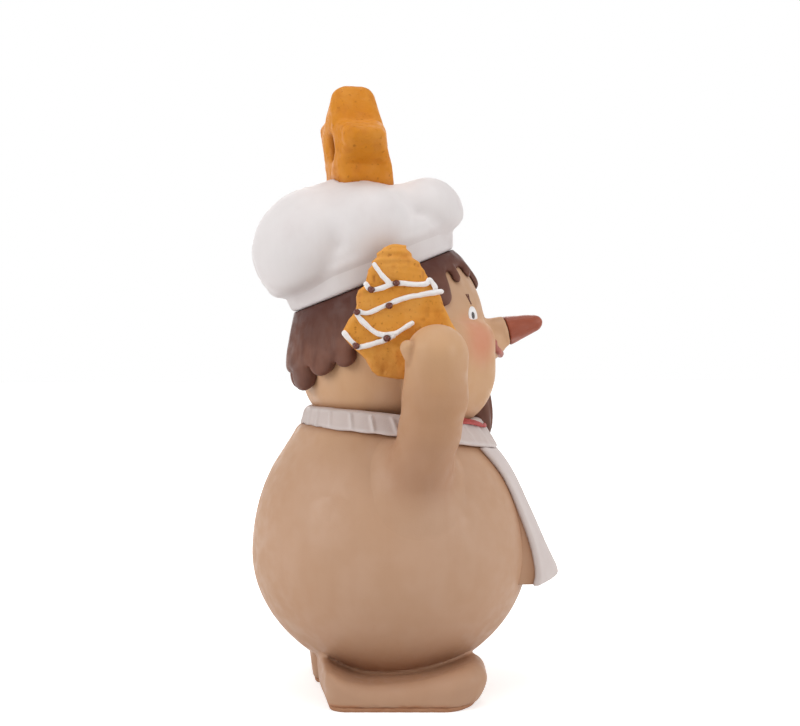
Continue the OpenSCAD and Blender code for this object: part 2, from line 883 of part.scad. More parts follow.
module bow_wings() {
    narrow = bow_h / 4;
    wide = bow_h / 2;
    color(ribbon_red)
    difference() {
        for (side = [0, 1])
            bow_place() mirror([side, 0, 0]) rotate([90, 0, bow_sweep]) linear_extrude(bow_t, center = true)
                polygon([[narrow, -narrow], [bow_half, -wide], [bow_half, wide], [narrow, narrow]]);
        bow_place() sphere(knot_r + glue_gap);
        torso_form(glue_gap);
    }
}

torso();
leg(-1);  // right_leg
leg(1);  // left_leg
sole_pads();
head();
nose_tip();
nose_pin();
eye_whites();
pupils();
mouth();
beard();
hair();
hat_band();
hat_crown();
hat_dowel();
star_cookie();
star_pins();
right_arm();
left_arm();
tree_cookie();
tree_icing();
chocolate_beads();
cookie_pin();
neck_ruffle();
apron();
apron_backing();
bow_wings();
bow_knot();
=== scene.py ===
"""Gingerbread baker figurine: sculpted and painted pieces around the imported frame, with its studio.

Shapes are written in millimetres as distance fields, which are below zero inside a form.
Each field is meshed, put in the frame in metres and painted with node materials.
The figure faces -Y, its right is -X, and it stands on Z = 0.
"""

import itertools
import math

import bpy
import numpy as np
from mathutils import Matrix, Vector


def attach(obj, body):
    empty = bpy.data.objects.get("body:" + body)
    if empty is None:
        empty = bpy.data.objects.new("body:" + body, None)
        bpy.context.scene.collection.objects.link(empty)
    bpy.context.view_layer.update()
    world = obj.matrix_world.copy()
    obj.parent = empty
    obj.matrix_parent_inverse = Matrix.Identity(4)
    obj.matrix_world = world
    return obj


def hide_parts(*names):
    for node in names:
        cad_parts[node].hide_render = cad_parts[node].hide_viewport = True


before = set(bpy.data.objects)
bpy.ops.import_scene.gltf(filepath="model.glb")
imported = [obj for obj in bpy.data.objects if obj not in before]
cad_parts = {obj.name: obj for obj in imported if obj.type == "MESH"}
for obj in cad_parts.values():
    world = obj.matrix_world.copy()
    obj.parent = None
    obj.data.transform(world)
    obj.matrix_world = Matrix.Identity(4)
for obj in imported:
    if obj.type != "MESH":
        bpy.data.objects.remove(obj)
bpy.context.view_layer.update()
MM = 0.001

# Places and sizes that several pieces share
TORSO_R = 48.5
WAIST_Z = 47.5
DOME_H = 53.0
BELLY_H = 44.0
NECK_Z = 93.56
SKULL = np.array([0.0, 0.0, 125.96])
SKULL_R = 33.0
FACE = SKULL - [0, 0.6, 0]
FACE_R = 32.4
HAT_TILT = math.radians(21.8)
HAT_SEAT = 17.2
HAT_GAP = 0.2
BAND_TOP = 9.0
NOSE_TILT = math.radians(15)
NOSE_ROOT = SKULL - [0, 0, 12.4]
NOSE_REACH = 42.8
COOKIE_FACE_X = -42.2
COOKIE_T = 6.0
MIRROR = np.array([-1, 1, 1])

# Fields
TINY = 1e-6
HASH_WAY = np.array([127.1, 311.7, 74.7])
HASH_SCALE = 43758.5453
ROOT_DEPTH = 1.4
SKIRT_SHARE = 0.97
GLUE = 0.1
THIN_GLUE = 0.05
SEAT_SOFT = 0.3
ROUND_SOFT = 0.5


def length(v):
    return np.sqrt((v * v).sum(-1))


def between(value, low, high):
    """0 up to low, 1 from high on, and straight between."""
    return np.clip((value - low) / (high - low), 0, 1)


def sphere(p, centre, r):
    return length(p - centre) - r


def ellipsoid(p, centre, radii):
    q = p - np.asarray(centre, float)
    radii = np.asarray(radii, float)
    near = length(q / radii)
    return near * (near - 1) / np.maximum(length(q / radii**2), TINY)


def limb(p, start, end, r_start, r_end):
    start, end = np.asarray(start, float), np.asarray(end, float)
    along = end - start
    share = np.clip((p - start) @ along / (along @ along), 0, 1)
    return length(p - start - share[..., None] * along) - (r_start + (r_end - r_start) * share)


def chain(p, points, radii, soft):
    """Round limbs through points, each with its own radius, blended where they meet."""
    whole = None
    for (a, b), (ra, rb) in zip(itertools.pairwise(points), itertools.pairwise(radii)):
        part = limb(p, a, b, ra, rb)
        whole = part if whole is None else join(whole, part, soft)
    return whole


def strokes(p, paths, radius):
    """Thin round strokes through points."""
    whole = np.full(p.shape[:-1], np.inf)
    for path in paths:
        for a, b in itertools.pairwise(path):
            whole = np.minimum(whole, limb(p, a, b, radius, radius))
    return whole


def join(a, b, soft):
    h = np.clip(0.5 + 0.5 * (b - a) / soft, 0, 1)
    return b + (a - b) * h - soft * h * (1 - h)


def both(a, b, soft):
    return -join(-a, -b, soft)


def cut(a, b, soft):
    return both(a, -b, soft)


def onto_host(form, host, soft, sunk):
    """A form that flows onto its host and ends a little under the host's surface."""
    blend = np.maximum(join(form, host + sunk, soft), -(host + ROOT_DEPTH))
    return np.maximum(blend, form - soft * SKIRT_SHARE)


def mirrored(p):
    """The same points, folded onto the figure's left side."""
    q = p.copy()
    q[..., 0] = np.abs(q[..., 0])
    return q


def turn_x(angle):
    c, s = math.cos(angle), math.sin(angle)
    return np.array([[1, 0, 0], [0, c, -s], [0, s, c]])


def turn_z(angle):
    c, s = math.cos(angle), math.sin(angle)
    return np.array([[c, -s, 0], [s, c, 0], [0, 0, 1]])


def rough(p, size, seed):
    """Smooth noise from -1 to 1 with lumps of that size."""
    q = p / size
    cell = np.floor(q)
    f = q - cell
    f = f * f * (3 - 2 * f)
    total = 0
    for corner in itertools.product((0, 1), repeat=3):
        value = np.sin((cell + corner) @ HASH_WAY + seed) * HASH_SCALE
        weight = np.prod(np.where(np.array(corner) == 1, f, 1 - f), axis=-1)
        total = total + weight * (value - np.floor(value))
    return 2 * total - 1


def polygon(u, v, corners):
    """Distance from the outline of a polygon, below zero inside it."""
    near = np.full(u.shape, np.inf)
    inside = np.zeros(u.shape, bool)
    for (ax, ay), (bx, by) in zip(corners, corners[1:] + corners[:1]):
        ex, ey = bx - ax, by - ay
        share = np.clip(((u - ax) * ex + (v - ay) * ey) / (ex * ex + ey * ey), 0, 1)
        near = np.minimum(near, np.hypot(u - ax - share * ex, v - ay - share * ey))
        if ey != 0:
            inside ^= ((ay > v) != (by > v)) & (u < ex * (v - ay) / ey + ax)
    return np.where(inside, -near, near)


def inset(corners, by):
    """A clockwise polygon with every side moved inwards."""
    moved = []
    for before, here, after in zip(corners[-1:] + corners[:-1], corners, corners[1:] + corners[:1]):
        sides = []
        for (ax, ay), (bx, by_) in ((before, here), (here, after)):
            size = math.hypot(bx - ax, by_ - ay)
            sides.append(np.array([ay - by_, bx - ax]) / size)
        out = sides[0] + sides[1]
        moved.append(tuple(np.array(here) - by * out / (1 + sides[0] @ sides[1])))
    return moved


def slab(outline, depth, half, edge):
    """A plate: an outline distance and a depth distance, with rounded edges."""
    a, b = outline + edge, np.abs(depth) - half + edge
    return np.minimum(np.maximum(a, b), 0) + np.hypot(np.maximum(a, 0), np.maximum(b, 0)) - edge


# Meshing
CORNERS = list(itertools.product((0, 1), repeat=3))
SLOPE_REACH = 0.05
LEAST_SLOPE = 0.05
# The point attribute that carries painted shade beside neighbouring parts and in hollows
SHADE = "shade"


def surface_net(field, low, high, step):
    """Points and quads of the surface where a field is zero."""
    low = np.asarray(low, float)
    counts = np.ceil((np.asarray(high, float) - low) / step).astype(int) + 1
    axes = [low[i] + step * np.arange(counts[i]) for i in range(3)]
    values = field(np.stack(np.meshgrid(*axes, indexing="ij"), -1))
    inside = values < 0
    cells = counts - 1
    filled = np.zeros(cells, int)
    for corner in CORNERS:
        filled += inside[tuple(slice(c, c + n) for c, n in zip(corner, cells))]
    active = np.argwhere((filled > 0) & (filled < len(CORNERS)))
    ids = np.full(cells, -1)
    ids[tuple(active.T)] = np.arange(len(active))
    at = {corner: values[tuple((active + corner).T)] for corner in CORNERS}
    total = np.zeros((len(active), 3))
    hits = np.zeros(len(active))
    quads = []
    for axis in range(3):
        for corner in CORNERS:
            if corner[axis]:
                continue
            end = tuple(1 if i == axis else c for i, c in enumerate(corner))
            a, b = at[corner], at[end]
            crosses = (a < 0) != (b < 0)
            spot = np.tile(np.array(corner, float), (len(active), 1))
            spot[:, axis] = a / np.where(crosses, a - b, 1)
            total[crosses] += spot[crosses]
            hits += crosses
        first = np.take(inside, np.arange(cells[axis]), axis)
        second = np.take(inside, np.arange(1, counts[axis]), axis)
        edges = np.argwhere(first != second)
        others = [(axis + 1) % 3, (axis + 2) % 3]
        keep = np.all([(edges[:, i] > 0) & (edges[:, i] < cells[i]) for i in others], axis=0)
        edges = edges[keep]
        around = []
        for du, dv in ((0, 0), (1, 0), (1, 1), (0, 1)):
            spot = edges.copy()
            spot[:, others[0]] -= du
            spot[:, others[1]] -= dv
            around.append(ids[tuple(spot.T)])
        quad = np.stack(around, 1)
        outward = first[tuple(edges.T)]
        quads.append(np.where(outward[:, None], quad, quad[:, ::-1]))
    points = low + step * (active + total / hits[:, None])
    return settle(field, points, step), np.concatenate(quads).tolist()


def settle(field, points, step, rounds=2):
    """Moves points onto the surface of a field, by less than a step."""
    for _ in range(rounds):
        slope = np.stack([
            (field(points + SLOPE_REACH * axis) - field(points - SLOPE_REACH * axis)) / (2 * SLOPE_REACH)
            for axis in np.eye(3)
        ], -1)
        size = np.maximum((slope * slope).sum(-1), LEAST_SLOPE)
        shift = np.clip(field(points) / size, -step / 2, step / 2)
        points = points - shift[:, None] * slope
    return points


def add_piece(name, node, finish, points, faces, shade=None):
    """Adds a piece with the paint of its finish, which is a slot and its paint; the slot is not used. It
    takes the place of a node, whose solid is hidden, if one is named.
    """
    slot, material = finish
    mesh = bpy.data.meshes.new(name)
    mesh.from_pydata((points * MM).tolist(), [], faces)
    mesh.polygons.foreach_set("use_smooth", np.ones(len(mesh.polygons), bool))
    if shade is not None:
        attribute = mesh.attributes.new(SHADE, "FLOAT", "POINT")
        attribute.data.foreach_set("value", np.clip(shade, 0, 1).astype(np.float32))
    mesh.materials.append(material)
    mesh.update()
    piece = bpy.data.objects.new(name, mesh)
    bpy.context.scene.collection.objects.link(piece)
    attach(piece, "root")
    if node:
        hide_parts(node)


def sculpt(node, finish, field, low, high, step, shade=None):
    """Meshes a field as the piece that stands for a node. Shade is a function of the points that gives its
    painted shade.
    """
    points, quads = surface_net(field, low, high, step)
    dark = None if shade is None else shade(points)
    add_piece(f"{node}_form", node, finish, points, quads, dark)


def fade(distance, reach, strength=1.0):
    """A darkening, used mostly for painted shade, that has its strength at a neighbour's surface and ends at
    reach from it.
    """
    return strength * np.clip(1 - np.maximum(distance, 0) / reach, 0, 1) ** 2


def darkest(*shades):
    return np.max(shades, axis=0)


# Nodes of materials
MIX_UNDER = 6
MIX_OVER = 7
MIX_RESULT = 2


def feed(tree, socket, value):
    """Links a socket to an input, or sets the input to a value."""
    if isinstance(value, bpy.types.NodeSocket):
        tree.links.new(value, socket)
    else:
        socket.default_value = value


def add_node(tree, kind, operation=None, **inputs):
    """Adds a node. An input goes by its name, or by its number as _0 or _1."""
    made = tree.nodes.new(kind)
    if operation:
        made.operation = operation
    for name, value in inputs.items():
        feed(tree, made.inputs[int(name[1:]) if name[0] == "_" else name], value)
    return made


def add_math(tree, operation, a, b):
    return add_node(tree, "ShaderNodeMath", operation, _0=a, _1=b).outputs[0]


def add_range(tree, value, low, high, start, end, kind="SMOOTHSTEP"):
    """Goes from start to end while a value goes from low to high."""
    made = tree.nodes.new("ShaderNodeMapRange")
    made.interpolation_type = kind
    for socket, entry in zip(made.inputs, (value, low, high, start, end)):
        feed(tree, socket, entry)
    return made.outputs[0]


# Paint
def srgb(r, g, b):
    """The linear colour of 8-bit screen values."""
    def linear(c):
        c /= 255
        return c / 12.92 if c <= 0.04045 else ((c + 0.055) / 1.055) ** 2.4
    return (linear(r), linear(g), linear(b), 1)


class Paint:
    """One node material, built from colour layers over the figure's own coordinates."""

    ROUGH_PATCH = 6

    def __init__(self, name, colour, roughness, specular=0.35):
        self.material = bpy.data.materials.new(name)
        self.material.use_nodes = True
        self.tree = self.material.node_tree
        self.shader = self.tree.nodes["Principled BSDF"]
        self.shader.inputs["Specular IOR Level"].default_value = specular
        self.place = self.tree.nodes.new("ShaderNodeTexCoord").outputs["Object"]
        self.colour = colour
        self.roughness = roughness

    def ramp(self, value, low, high, start=0.0, end=1.0):
        return add_range(self.tree, value, low, high, start, end)

    def stretched(self, x, y, z):
        return add_node(self.tree, "ShaderNodeMapping", Vector=self.place, Scale=(x, y, z)).outputs[0]

    def noise(self, size, detail=3.0, place=None):
        """Noise around 0.5 with lumps of a size in millimetres."""
        scale = 1 / (size * MM)
        vector = place or self.place
        made = add_node(self.tree, "ShaderNodeTexNoise", Vector=vector, Scale=scale, Detail=detail)
        return made.outputs["Fac"]

    def patches(self, size, low, high, detail=3.0):
        """Soft patches, where noise of a size in millimetres rises from low to high."""
        return self.ramp(self.noise(size, detail), low, high)

    def height(self, low, high):
        """0 at a low height and 1 at a high one."""
        axis = add_node(self.tree, "ShaderNodeSeparateXYZ", Vector=self.place)
        return self.ramp(axis.outputs["Z"], low * MM, high * MM)

    def spot(self, centre, near, far):
        """1 within near of a point, 0 from far away."""
        at = [c * MM for c in centre]
        made = add_node(self.tree, "ShaderNodeVectorMath", "DISTANCE", _0=self.place, _1=at)
        return self.ramp(made.outputs["Value"], near * MM, far * MM, 1.0, 0.0)

    def shade(self):
        """The painted shade beside neighbours and in hollows, with the cookie's own pits, which is kept in
        the mesh.
        """
        made = self.tree.nodes.new("ShaderNodeAttribute")
        made.attribute_name = SHADE
        return made.outputs["Fac"]

    def layer(self, mask, colour, strength=1.0):
        """Paints a colour over what is there, by a mask from 0 to 1."""
        made = self.tree.nodes.new("ShaderNodeMix")
        made.data_type = "RGBA"
        share = add_math(self.tree, "MULTIPLY", mask, strength)
        feed(self.tree, made.inputs["Factor"], share)
        feed(self.tree, made.inputs[MIX_UNDER], self.colour)
        feed(self.tree, made.inputs[MIX_OVER], colour)
        self.colour = made.outputs[MIX_RESULT]

    def finish(self, grain, depth, relief, relief_depth, spread=0.12):
        """Links the colour, a roughness in patches, and bumps from a fine grain and from a coarser relief.

        The grain and both depths are in millimetres.
        """
        low, high = self.roughness - spread, self.roughness + spread
        patchy = self.ramp(self.noise(grain * self.ROUGH_PATCH), 0.3, 0.7, low, high)
        fine = add_node(self.tree, "ShaderNodeBump", Height=self.noise(grain), Distance=depth * MM)
        bump = add_node(self.tree, "ShaderNodeBump", Height=relief, Distance=relief_depth * MM)
        feed(self.tree, bump.inputs["Normal"], fine.outputs[0])
        for made in (fine, bump):
            made.inputs["Strength"].default_value = 1.0
        feed(self.tree, self.shader.inputs["Base Color"], self.colour)
        feed(self.tree, self.shader.inputs["Roughness"], patchy)
        feed(self.tree, self.shader.inputs["Normal"], bump.outputs[0])
        return self.material


def gingerbread():
    paint = Paint("gingerbread_paint", srgb(192, 152, 122), 0.55)
    paint.layer(paint.height(72, 112), srgb(206, 162, 122))
    paint.layer(paint.height(124, 140), srgb(188, 150, 119), 0.8)
    paint.layer(paint.patches(22, 0.4, 0.64), srgb(206, 170, 146), 0.25)
    streaks = paint.noise(5, 4, paint.stretched(1, 1, 0.12))
    paint.layer(paint.ramp(streaks, 0.45, 0.75), srgb(182, 134, 100), 0.1)
    # Darker towards the feet: partly the paint's own tone, partly painted shade
    paint.layer(paint.height(44, 8), srgb(166, 124, 96), 0.35)
    # Painted shade beside neighbouring parts and in creases, from the mesh's shade attribute
    paint.layer(paint.shade(), srgb(150, 98, 64), 0.75)
    for side in (-1, 1):
        blush = paint.spot((side * 23, -27.5, 121.5), 2, 13)
        paint.layer(blush, srgb(212, 128, 100), 0.6)
    worn = paint.ramp(paint.noise(14, 2, paint.stretched(1, 1, 3)), 0.4, 0.6)
    worn_rim = add_math(paint.tree, "MULTIPLY", paint.height(2.9, 1.9), worn)
    paint.layer(worn_rim, srgb(170, 98, 48), 0.55)
    return paint.finish(0.7, 0.03, streaks, 0.05)


def chocolate():
    paint = Paint("chocolate_paint", srgb(108, 72, 60), 0.55, 0.2)
    paint.layer(paint.patches(14, 0.42, 0.62), srgb(126, 84, 68), 0.6)
    streaks = paint.noise(4, 4, paint.stretched(1, 1, 0.15))
    paint.layer(paint.ramp(streaks, 0.5, 0.75), srgb(84, 52, 44), 0.5)
    # Painted shade on the hair under the hat and along its hem, from the mesh's shade attribute
    paint.layer(paint.shade(), srgb(70, 32, 24), 0.9)
    return paint.finish(0.6, 0.03, streaks, 0.06)


def white(name, colour, warm, crease, roughness):
    paint = Paint(name, colour, roughness, 0.3)
    paint.layer(paint.patches(16, 0.4, 0.65), warm, 0.4)
    streaks = paint.noise(3.5, 4, paint.stretched(1, 1, 0.5))
    paint.layer(paint.ramp(streaks, 0.5, 0.8), crease, 0.07)
    # Painted shade in the pleats' hollows and beside neighbouring parts, from the mesh's shade attribute
    paint.layer(paint.shade(), crease, 0.7)
    return paint.finish(0.6, 0.03, streaks, 0.05)


def baked(name, colour, light, dark, pit_and_shade):
    paint = Paint(name, colour, 0.6, 0.3)
    paint.layer(paint.patches(9, 0.42, 0.64), light, 0.55)
    paint.layer(paint.patches(4.5, 0.5, 0.72, 5), dark, 0.5)
    crumbs = paint.noise(1.5, 4)
    paint.layer(paint.ramp(crumbs, 0.6, 0.74), pit_and_shade, 0.6)
    # From the mesh's shade attribute: the cookie's own pits, and painted shade beside neighbours and in the
    # star's hole
    paint.layer(paint.shade(), pit_and_shade, 0.75)
    return paint.finish(0.5, 0.06, crumbs, 0.25)


def plain(name, colour, second, roughness, grain, stretch=(1, 1, 1), metallic=0.0, specular=0.4):
    paint = Paint(name, colour, roughness, specular)
    paint.shader.inputs["Metallic"].default_value = metallic
    streaks = paint.noise(grain, 4, paint.stretched(*stretch))
    paint.layer(paint.ramp(streaks, 0.4, 0.68), second, 0.7)
    # Painted shade from the mesh's shade attribute, where a piece has one
    paint.layer(paint.shade(), second, 0.5)
    return paint.finish(0.5, 0.03, streaks, 0.05, spread=0.08)


GINGERBREAD = gingerbread()
HAT_WHITE = white("hat_paint", srgb(230, 224, 223), srgb(224, 215, 214), srgb(196, 180, 176), 0.6)
APRON_WHITE = white("apron_paint", srgb(219, 207, 203), srgb(210, 196, 191), srgb(178, 152, 138), 0.6)
ICING_WHITE = white("icing_paint", srgb(246, 243, 242), srgb(238, 232, 230), srgb(206, 186, 170), 0.42)
BISCUIT = baked("cookie_paint", srgb(221, 148, 54), srgb(230, 166, 82), srgb(200, 116, 26), srgb(158, 84, 16))
STAR_GOLD = baked("star_paint", srgb(213, 133, 26), srgb(222, 148, 54), srgb(196, 112, 18), srgb(168, 92, 14))
NOSE_RUST = plain("nose_paint", srgb(150, 72, 46), srgb(172, 92, 66), 0.45, 4, (1, 0.3, 1))
LIP_RED = plain("lip_paint", srgb(164, 92, 78), srgb(186, 112, 100), 0.5, 3)
RIBBON_RED = plain("ribbon_paint", srgb(172, 66, 62), srgb(190, 92, 88), 0.55, 3)
PUPIL_DARK = plain("pupil_paint", srgb(56, 44, 44), srgb(40, 30, 30), 0.2, 2, specular=0.6)
BEAD_BROWN = plain("bead_paint", srgb(98, 38, 22), srgb(70, 26, 16), 0.3, 1.2, specular=0.5)
SOLE_TAN = plain("sole_rubber", srgb(178, 130, 98), srgb(166, 114, 80), 0.75, 6)
BARE_WOOD = plain("dowel_wood", srgb(206, 168, 112), srgb(182, 138, 84), 0.6, 2.5, (1, 1, 0.08))
BARE_WIRE = plain("pin_wire", srgb(168, 168, 170), srgb(140, 140, 142), 0.35, 1, (1, 1, 0.1), metallic=1.0)

# Finishes: a slot of the record and its paint
BODY = ("body_resin", GINGERBREAD)
SKIN = ("skin_resin", GINGERBREAD)
CHOCOLATE = ("chocolate_resin", chocolate())
HAT = ("hat_resin", HAT_WHITE)
APRON = ("apron_resin", APRON_WHITE)
ICING = ("icing_resin", ICING_WHITE)
COOKIE = ("cookie_resin", BISCUIT)
STAR = ("cookie_resin", STAR_GOLD)
NOSE = ("nose_resin", NOSE_RUST)
LIPS = ("mouth_resin", LIP_RED)
RIBBON = ("ribbon_resin", RIBBON_RED)
PUPIL = ("pupil_paint", PUPIL_DARK)
BEAD = ("chocolate_resin", BEAD_BROWN)
SOLE = ("sole_rubber", SOLE_TAN)


# Torso, legs and pads
LEAN_BACK = 2.2
BELLY_FORWARD = 0.7
BELLY_TUCK = 0.06
SHOULDERS = 1.3
NAPE = 2.0
FOOT_X = 23.5
FOOT_Y = -2.7
FOOT_HALF_W = 20.0
FOOT_HALF_L = 28.6
FOOT_END = 20.0
SOLE_H = 10.0
INSTEP_Y = 11.7
INSTEP_H = 8.2
UNDER_FLOOR = 20.0
TOE_OUT = math.radians(6.5)
LEFT_BACK = 1.5
LEG_SOFT = 1.8
LEG_SUNK = 0.1
PAD_T = 1.6
PAD_EDGE = 0.35


def torso_field(p):
    """A round body whose shoulders are full and lean back a little."""
    up = between(p[..., 2] - WAIST_Z, 0, DOME_H)
    down = between(WAIST_Z - p[..., 2], 0, BELLY_H)
    q = p.copy()
    q[..., 1] -= LEAN_BACK * up**3 - BELLY_FORWARD * down**2
    q[..., 1] *= 1 + BELLY_TUCK * down**2
    centre = (0, 0, WAIST_Z)
    nape = NAPE * between(up, 0.62, 0.82) ** 2 * between(p[..., 1], 0, 25)
    shoulders = SHOULDERS * (up * (1 - up) * 4) ** 2 * up
    dome = ellipsoid(q, centre, (TORSO_R, TORSO_R, DOME_H)) - shoulders - nape
    belly = ellipsoid(q, centre, (TORSO_R, TORSO_R, BELLY_H))
    return np.where(p[..., 2] > WAIST_Z, dome, belly)


def torso_form(p):
    """The torso with the slight swell of its surface."""
    return torso_field(p) - 0.12 * rough(p, 24, 1)


def torso_piece(p):
    return both(torso_form(p), p[..., 2] - NECK_Z, 1.5)


def foot_frame(p):
    """Coordinates in the left foot, whose toes turn out: its toes are at negative Y."""
    return (p - [FOOT_X, FOOT_Y, 0]) @ turn_z(TOE_OUT)


def foot_outline(q):
    """The foot's plan, drawn in towards the sole at heel and toes.

    The heel is cut straight across both feet.
    """
    low = np.clip(SOLE_H - q[..., 2], 0, SOLE_H) ** 2
    heel, toes = between(q[..., 1], 0, FOOT_END), between(-q[..., 1], 0, FOOT_END)
    heel_in = 0.14 * q[..., 0] + 0.012 * low
    toes_in = 0.045 * low + 1.1
    corner = 10 + 4 * toes - 4.5 * heel
    along = q[..., 1] + heel * heel_in - toes * toes_in
    return slab(np.abs(q[..., 0] - 0.6) - FOOT_HALF_W, along, FOOT_HALF_L, corner)


def leg_field(p):
    """The left leg: a foot with a saddle between its toes and its heel."""
    q = foot_frame(p)
    back = q[..., 1] - INSTEP_Y
    top = INSTEP_H + np.where(back > 0, 0.026, 0.0053) * back**2
    edge = np.interp(q[..., 1], (-27, -10, 12, 27), (8.4, 5.5, 5, 3))
    return slab(foot_outline(q), q[..., 2] - (top - UNDER_FLOOR) / 2, (top + UNDER_FLOOR) / 2, edge)


def leg_piece(p, back):
    """A leg on the left side, its foot set back a little."""
    foot = onto_host(leg_field(p - [0, back, 0]), torso_form(p), LEG_SOFT, LEG_SUNK)
    return both(foot, PAD_T - p[..., 2], ROUND_SOFT)


def left_leg_piece(p):
    return leg_piece(p, LEFT_BACK)


def right_leg_piece(p):
    return leg_piece(p * MIRROR, 0)


def pad_field(p):
    outline = foot_outline(foot_frame(p)) + PAD_EDGE
    return slab(outline, p[..., 2] - PAD_T / 2, PAD_T / 2, PAD_EDGE)


def pads_piece(p):
    return np.minimum(pad_field(p - [0, LEFT_BACK, 0]), pad_field(p * MIRROR))


# Painted shade beside the apron's edge, under the ruffle and at the feet
def torso_shade(p):
    return darkest(
        fade(apron_field(p), 4, 0.9),
        fade(ruffle_near(p), 2.5, 0.8),
        fade(leg_field(mirrored(p)), 2.5, 0.15),
    )


# Painted shade where the foot meets the belly
def leg_shade(p):
    return fade(torso_field(p), 3, 0.15)


# Head and nose
CHEEK_Z = 111.2
CHEEK_LOW = 19.0
CHEEK_R = 15.2
CHEEK_H = 17.7
STUB_R = 5.2
STUB_L = 24.0
TIP_R = 5.15
TIP_L = 13.6
TIP_TAPER = 2.9
TIP_FACETS = 5


def hat_frame(p):
    """Coordinates in the hat: its seat is at zero height."""
    return (p - SKULL) @ turn_x(-HAT_TILT) - [0, 0, HAT_SEAT]


def nose_frame(p):
    """Coordinates along the nose: its tip starts at zero height."""
    return (p - NOSE_ROOT) @ turn_x(math.pi / 2 - NOSE_TILT) - [0, 0, NOSE_REACH]


def cheek_field(p):
    """Cheeks that are round below and level on top, as a ledge under the eyes."""
    q = mirrored(p)
    below = between(CHEEK_Z - q[..., 2], 0, CHEEK_LOW)
    flat = q * [1, 1, 0]
    side = limb(flat, (19, -12.5, 0), (11, -20.2, 0), 0, 0) - CHEEK_R * np.sqrt(1 - below**2)
    return slab(side, np.maximum(q[..., 2] - CHEEK_Z, 0), CHEEK_H, 8)


def snout_field(p):
    q = nose_frame(p)
    stub = np.hypot(q[..., 0], q[..., 1]) - STUB_R + 0.12 * q[..., 2]
    stub = both(both(stub, q[..., 2], 0.6), -STUB_L - q[..., 2], 1)
    muzzle = ellipsoid(p, (0, -28.5, 119.2), (10.5, 12, 6.9))
    return join(stub, muzzle, 2.5)


def skull_field(p):
    nape = ellipsoid(p, (0, 3, 108), (29, 27.5, 20))
    return join(sphere(p, FACE, FACE_R), nape, 5)


def head_field(p):
    bridge = ellipsoid(p, (0, -22, 124), (10, 12.2, 8))
    face = join(skull_field(p), cheek_field(p), 1.4)
    return join(join(face, bridge, 4), snout_field(p), 1.4)


def head_piece(p):
    head = both(head_field(p), hat_frame(p)[..., 2] + HAT_GAP, ROUND_SOFT)
    head = both(head, NECK_Z - p[..., 2], ROUND_SOFT)
    return head - 0.08 * rough(p, 14, 2)


# Painted shade under the hair, above the ruffle and around the beard, and a dark line along the smile's
# groove
def head_shade(p):
    smile_fold = np.abs(cheek_field(p)) + np.abs(snout_field(p))
    return darkest(
        fade(hair_field(p), 1.6, 0.5),
        fade(ruffle_near(p), 4, 0.6),
        fade(beard_field(p), 1.8, 0.6),
        fade(smile_fold, 2.2),
    )


def nose_tip_field(p):
    q = nose_frame(p)
    share = between(q[..., 2], 0, TIP_L - 0.1)
    facets = 0.22 * np.cos(TIP_FACETS * np.arctan2(q[..., 1], q[..., 0]) + 1.2)
    radius = TIP_R - TIP_TAPER * share**1.15 + facets * (1 - share) + 0.1 * rough(p, 3, 5)
    side = (np.hypot(q[..., 0], q[..., 1]) - radius) * 0.95
    return both(both(side, 0.15 - q[..., 2], 0.4), q[..., 2] - TIP_L, 3)


# Eyes, brows, mouth and beard, which lie on the head. Turns from the front and rises are in degrees.
EYE_TURN = 35.5
EYE_RISE = 6.5
PATCH_ROOT = 0.6
BROWS = [(39, 19.5), (37.5, 16.5), (36, 13.8)], [(36.6, 19.6), (37, 15.5)]
BROW_R = 0.3
SMILE_HALF = [(0, 116.1), (3.6, 116.5), (6.6, 117.5), (8.6, 119), (9.8, 120.6)]
LIP_R = 1.15
RAY_STEPS = 120
RAY_HALVINGS = 18
BEARD_CENTRE = np.array([0.0, -31.0, 97.5])
BEARD_LEAN = math.radians(-14)


def onto(field, starts, ways, reach):
    """First points of a field's surface along rays."""
    steps = np.linspace(0, reach, RAY_STEPS)
    inside = np.stack([field(starts + t * ways) < 0 for t in steps])
    first = np.argmax(inside, axis=0)
    low, high = steps[np.maximum(first - 1, 0)], steps[first]
    for _ in range(RAY_HALVINGS):
        middle = (low + high) / 2
        hit = field(starts + middle[:, None] * ways) < 0
        low, high = np.where(hit, low, middle), np.where(hit, middle, high)
    return starts + high[:, None] * ways


def face_ways(turn, rise):
    """Unit vectors from the middle of the head."""
    turn, rise = np.radians(turn), np.radians(rise)
    return np.stack([np.sin(turn) * np.cos(rise), -np.cos(turn) * np.cos(rise), np.sin(rise)], -1)


def on_head(field, ways):
    """Points of a field's surface that lie in given ways from the middle of the head."""
    return onto(field, SKULL + 60 * ways, -ways, 45)


def face_patch(turn, rise, half_turn, half_rise, lift, proud, rings=7, spokes=36):
    """A low dome on the face: closed points and faces."""
    rings_at = np.linspace(0, 1, rings + 1)[1:]
    angles = np.linspace(0, 2 * math.pi, spokes, endpoint=False)
    share, angle = (np.append(0, a) for a in np.meshgrid(rings_at, angles, indexing="ij"))
    ways = face_ways(turn + half_turn * share * np.sin(angle), rise + half_rise * share * np.cos(angle))
    skin = on_head(skull_field, ways)
    top = skin + (proud + lift * np.sqrt(np.maximum(1 - share**2, 0)))[:, None] * ways
    under = skin - PATCH_ROOT * ways
    count = len(ways)
    faces = []
    for base, is_under in ((0, False), (count, True)):
        for r, s in itertools.product(range(rings), range(spokes)):
            t = (s + 1) % spokes
            ring = base + 1 + r * spokes
            inner = [ring - spokes + t, ring - spokes + s] if r else [base]
            face = [*inner, ring + s, ring + t]
            faces.append(face if is_under else face[::-1])
    rim = 1 + (rings - 1) * spokes
    for s in range(spokes):
        t = (s + 1) % spokes
        faces.append([rim + s, rim + t, count + rim + t, count + rim + s])
    return np.concatenate([top, under]), faces


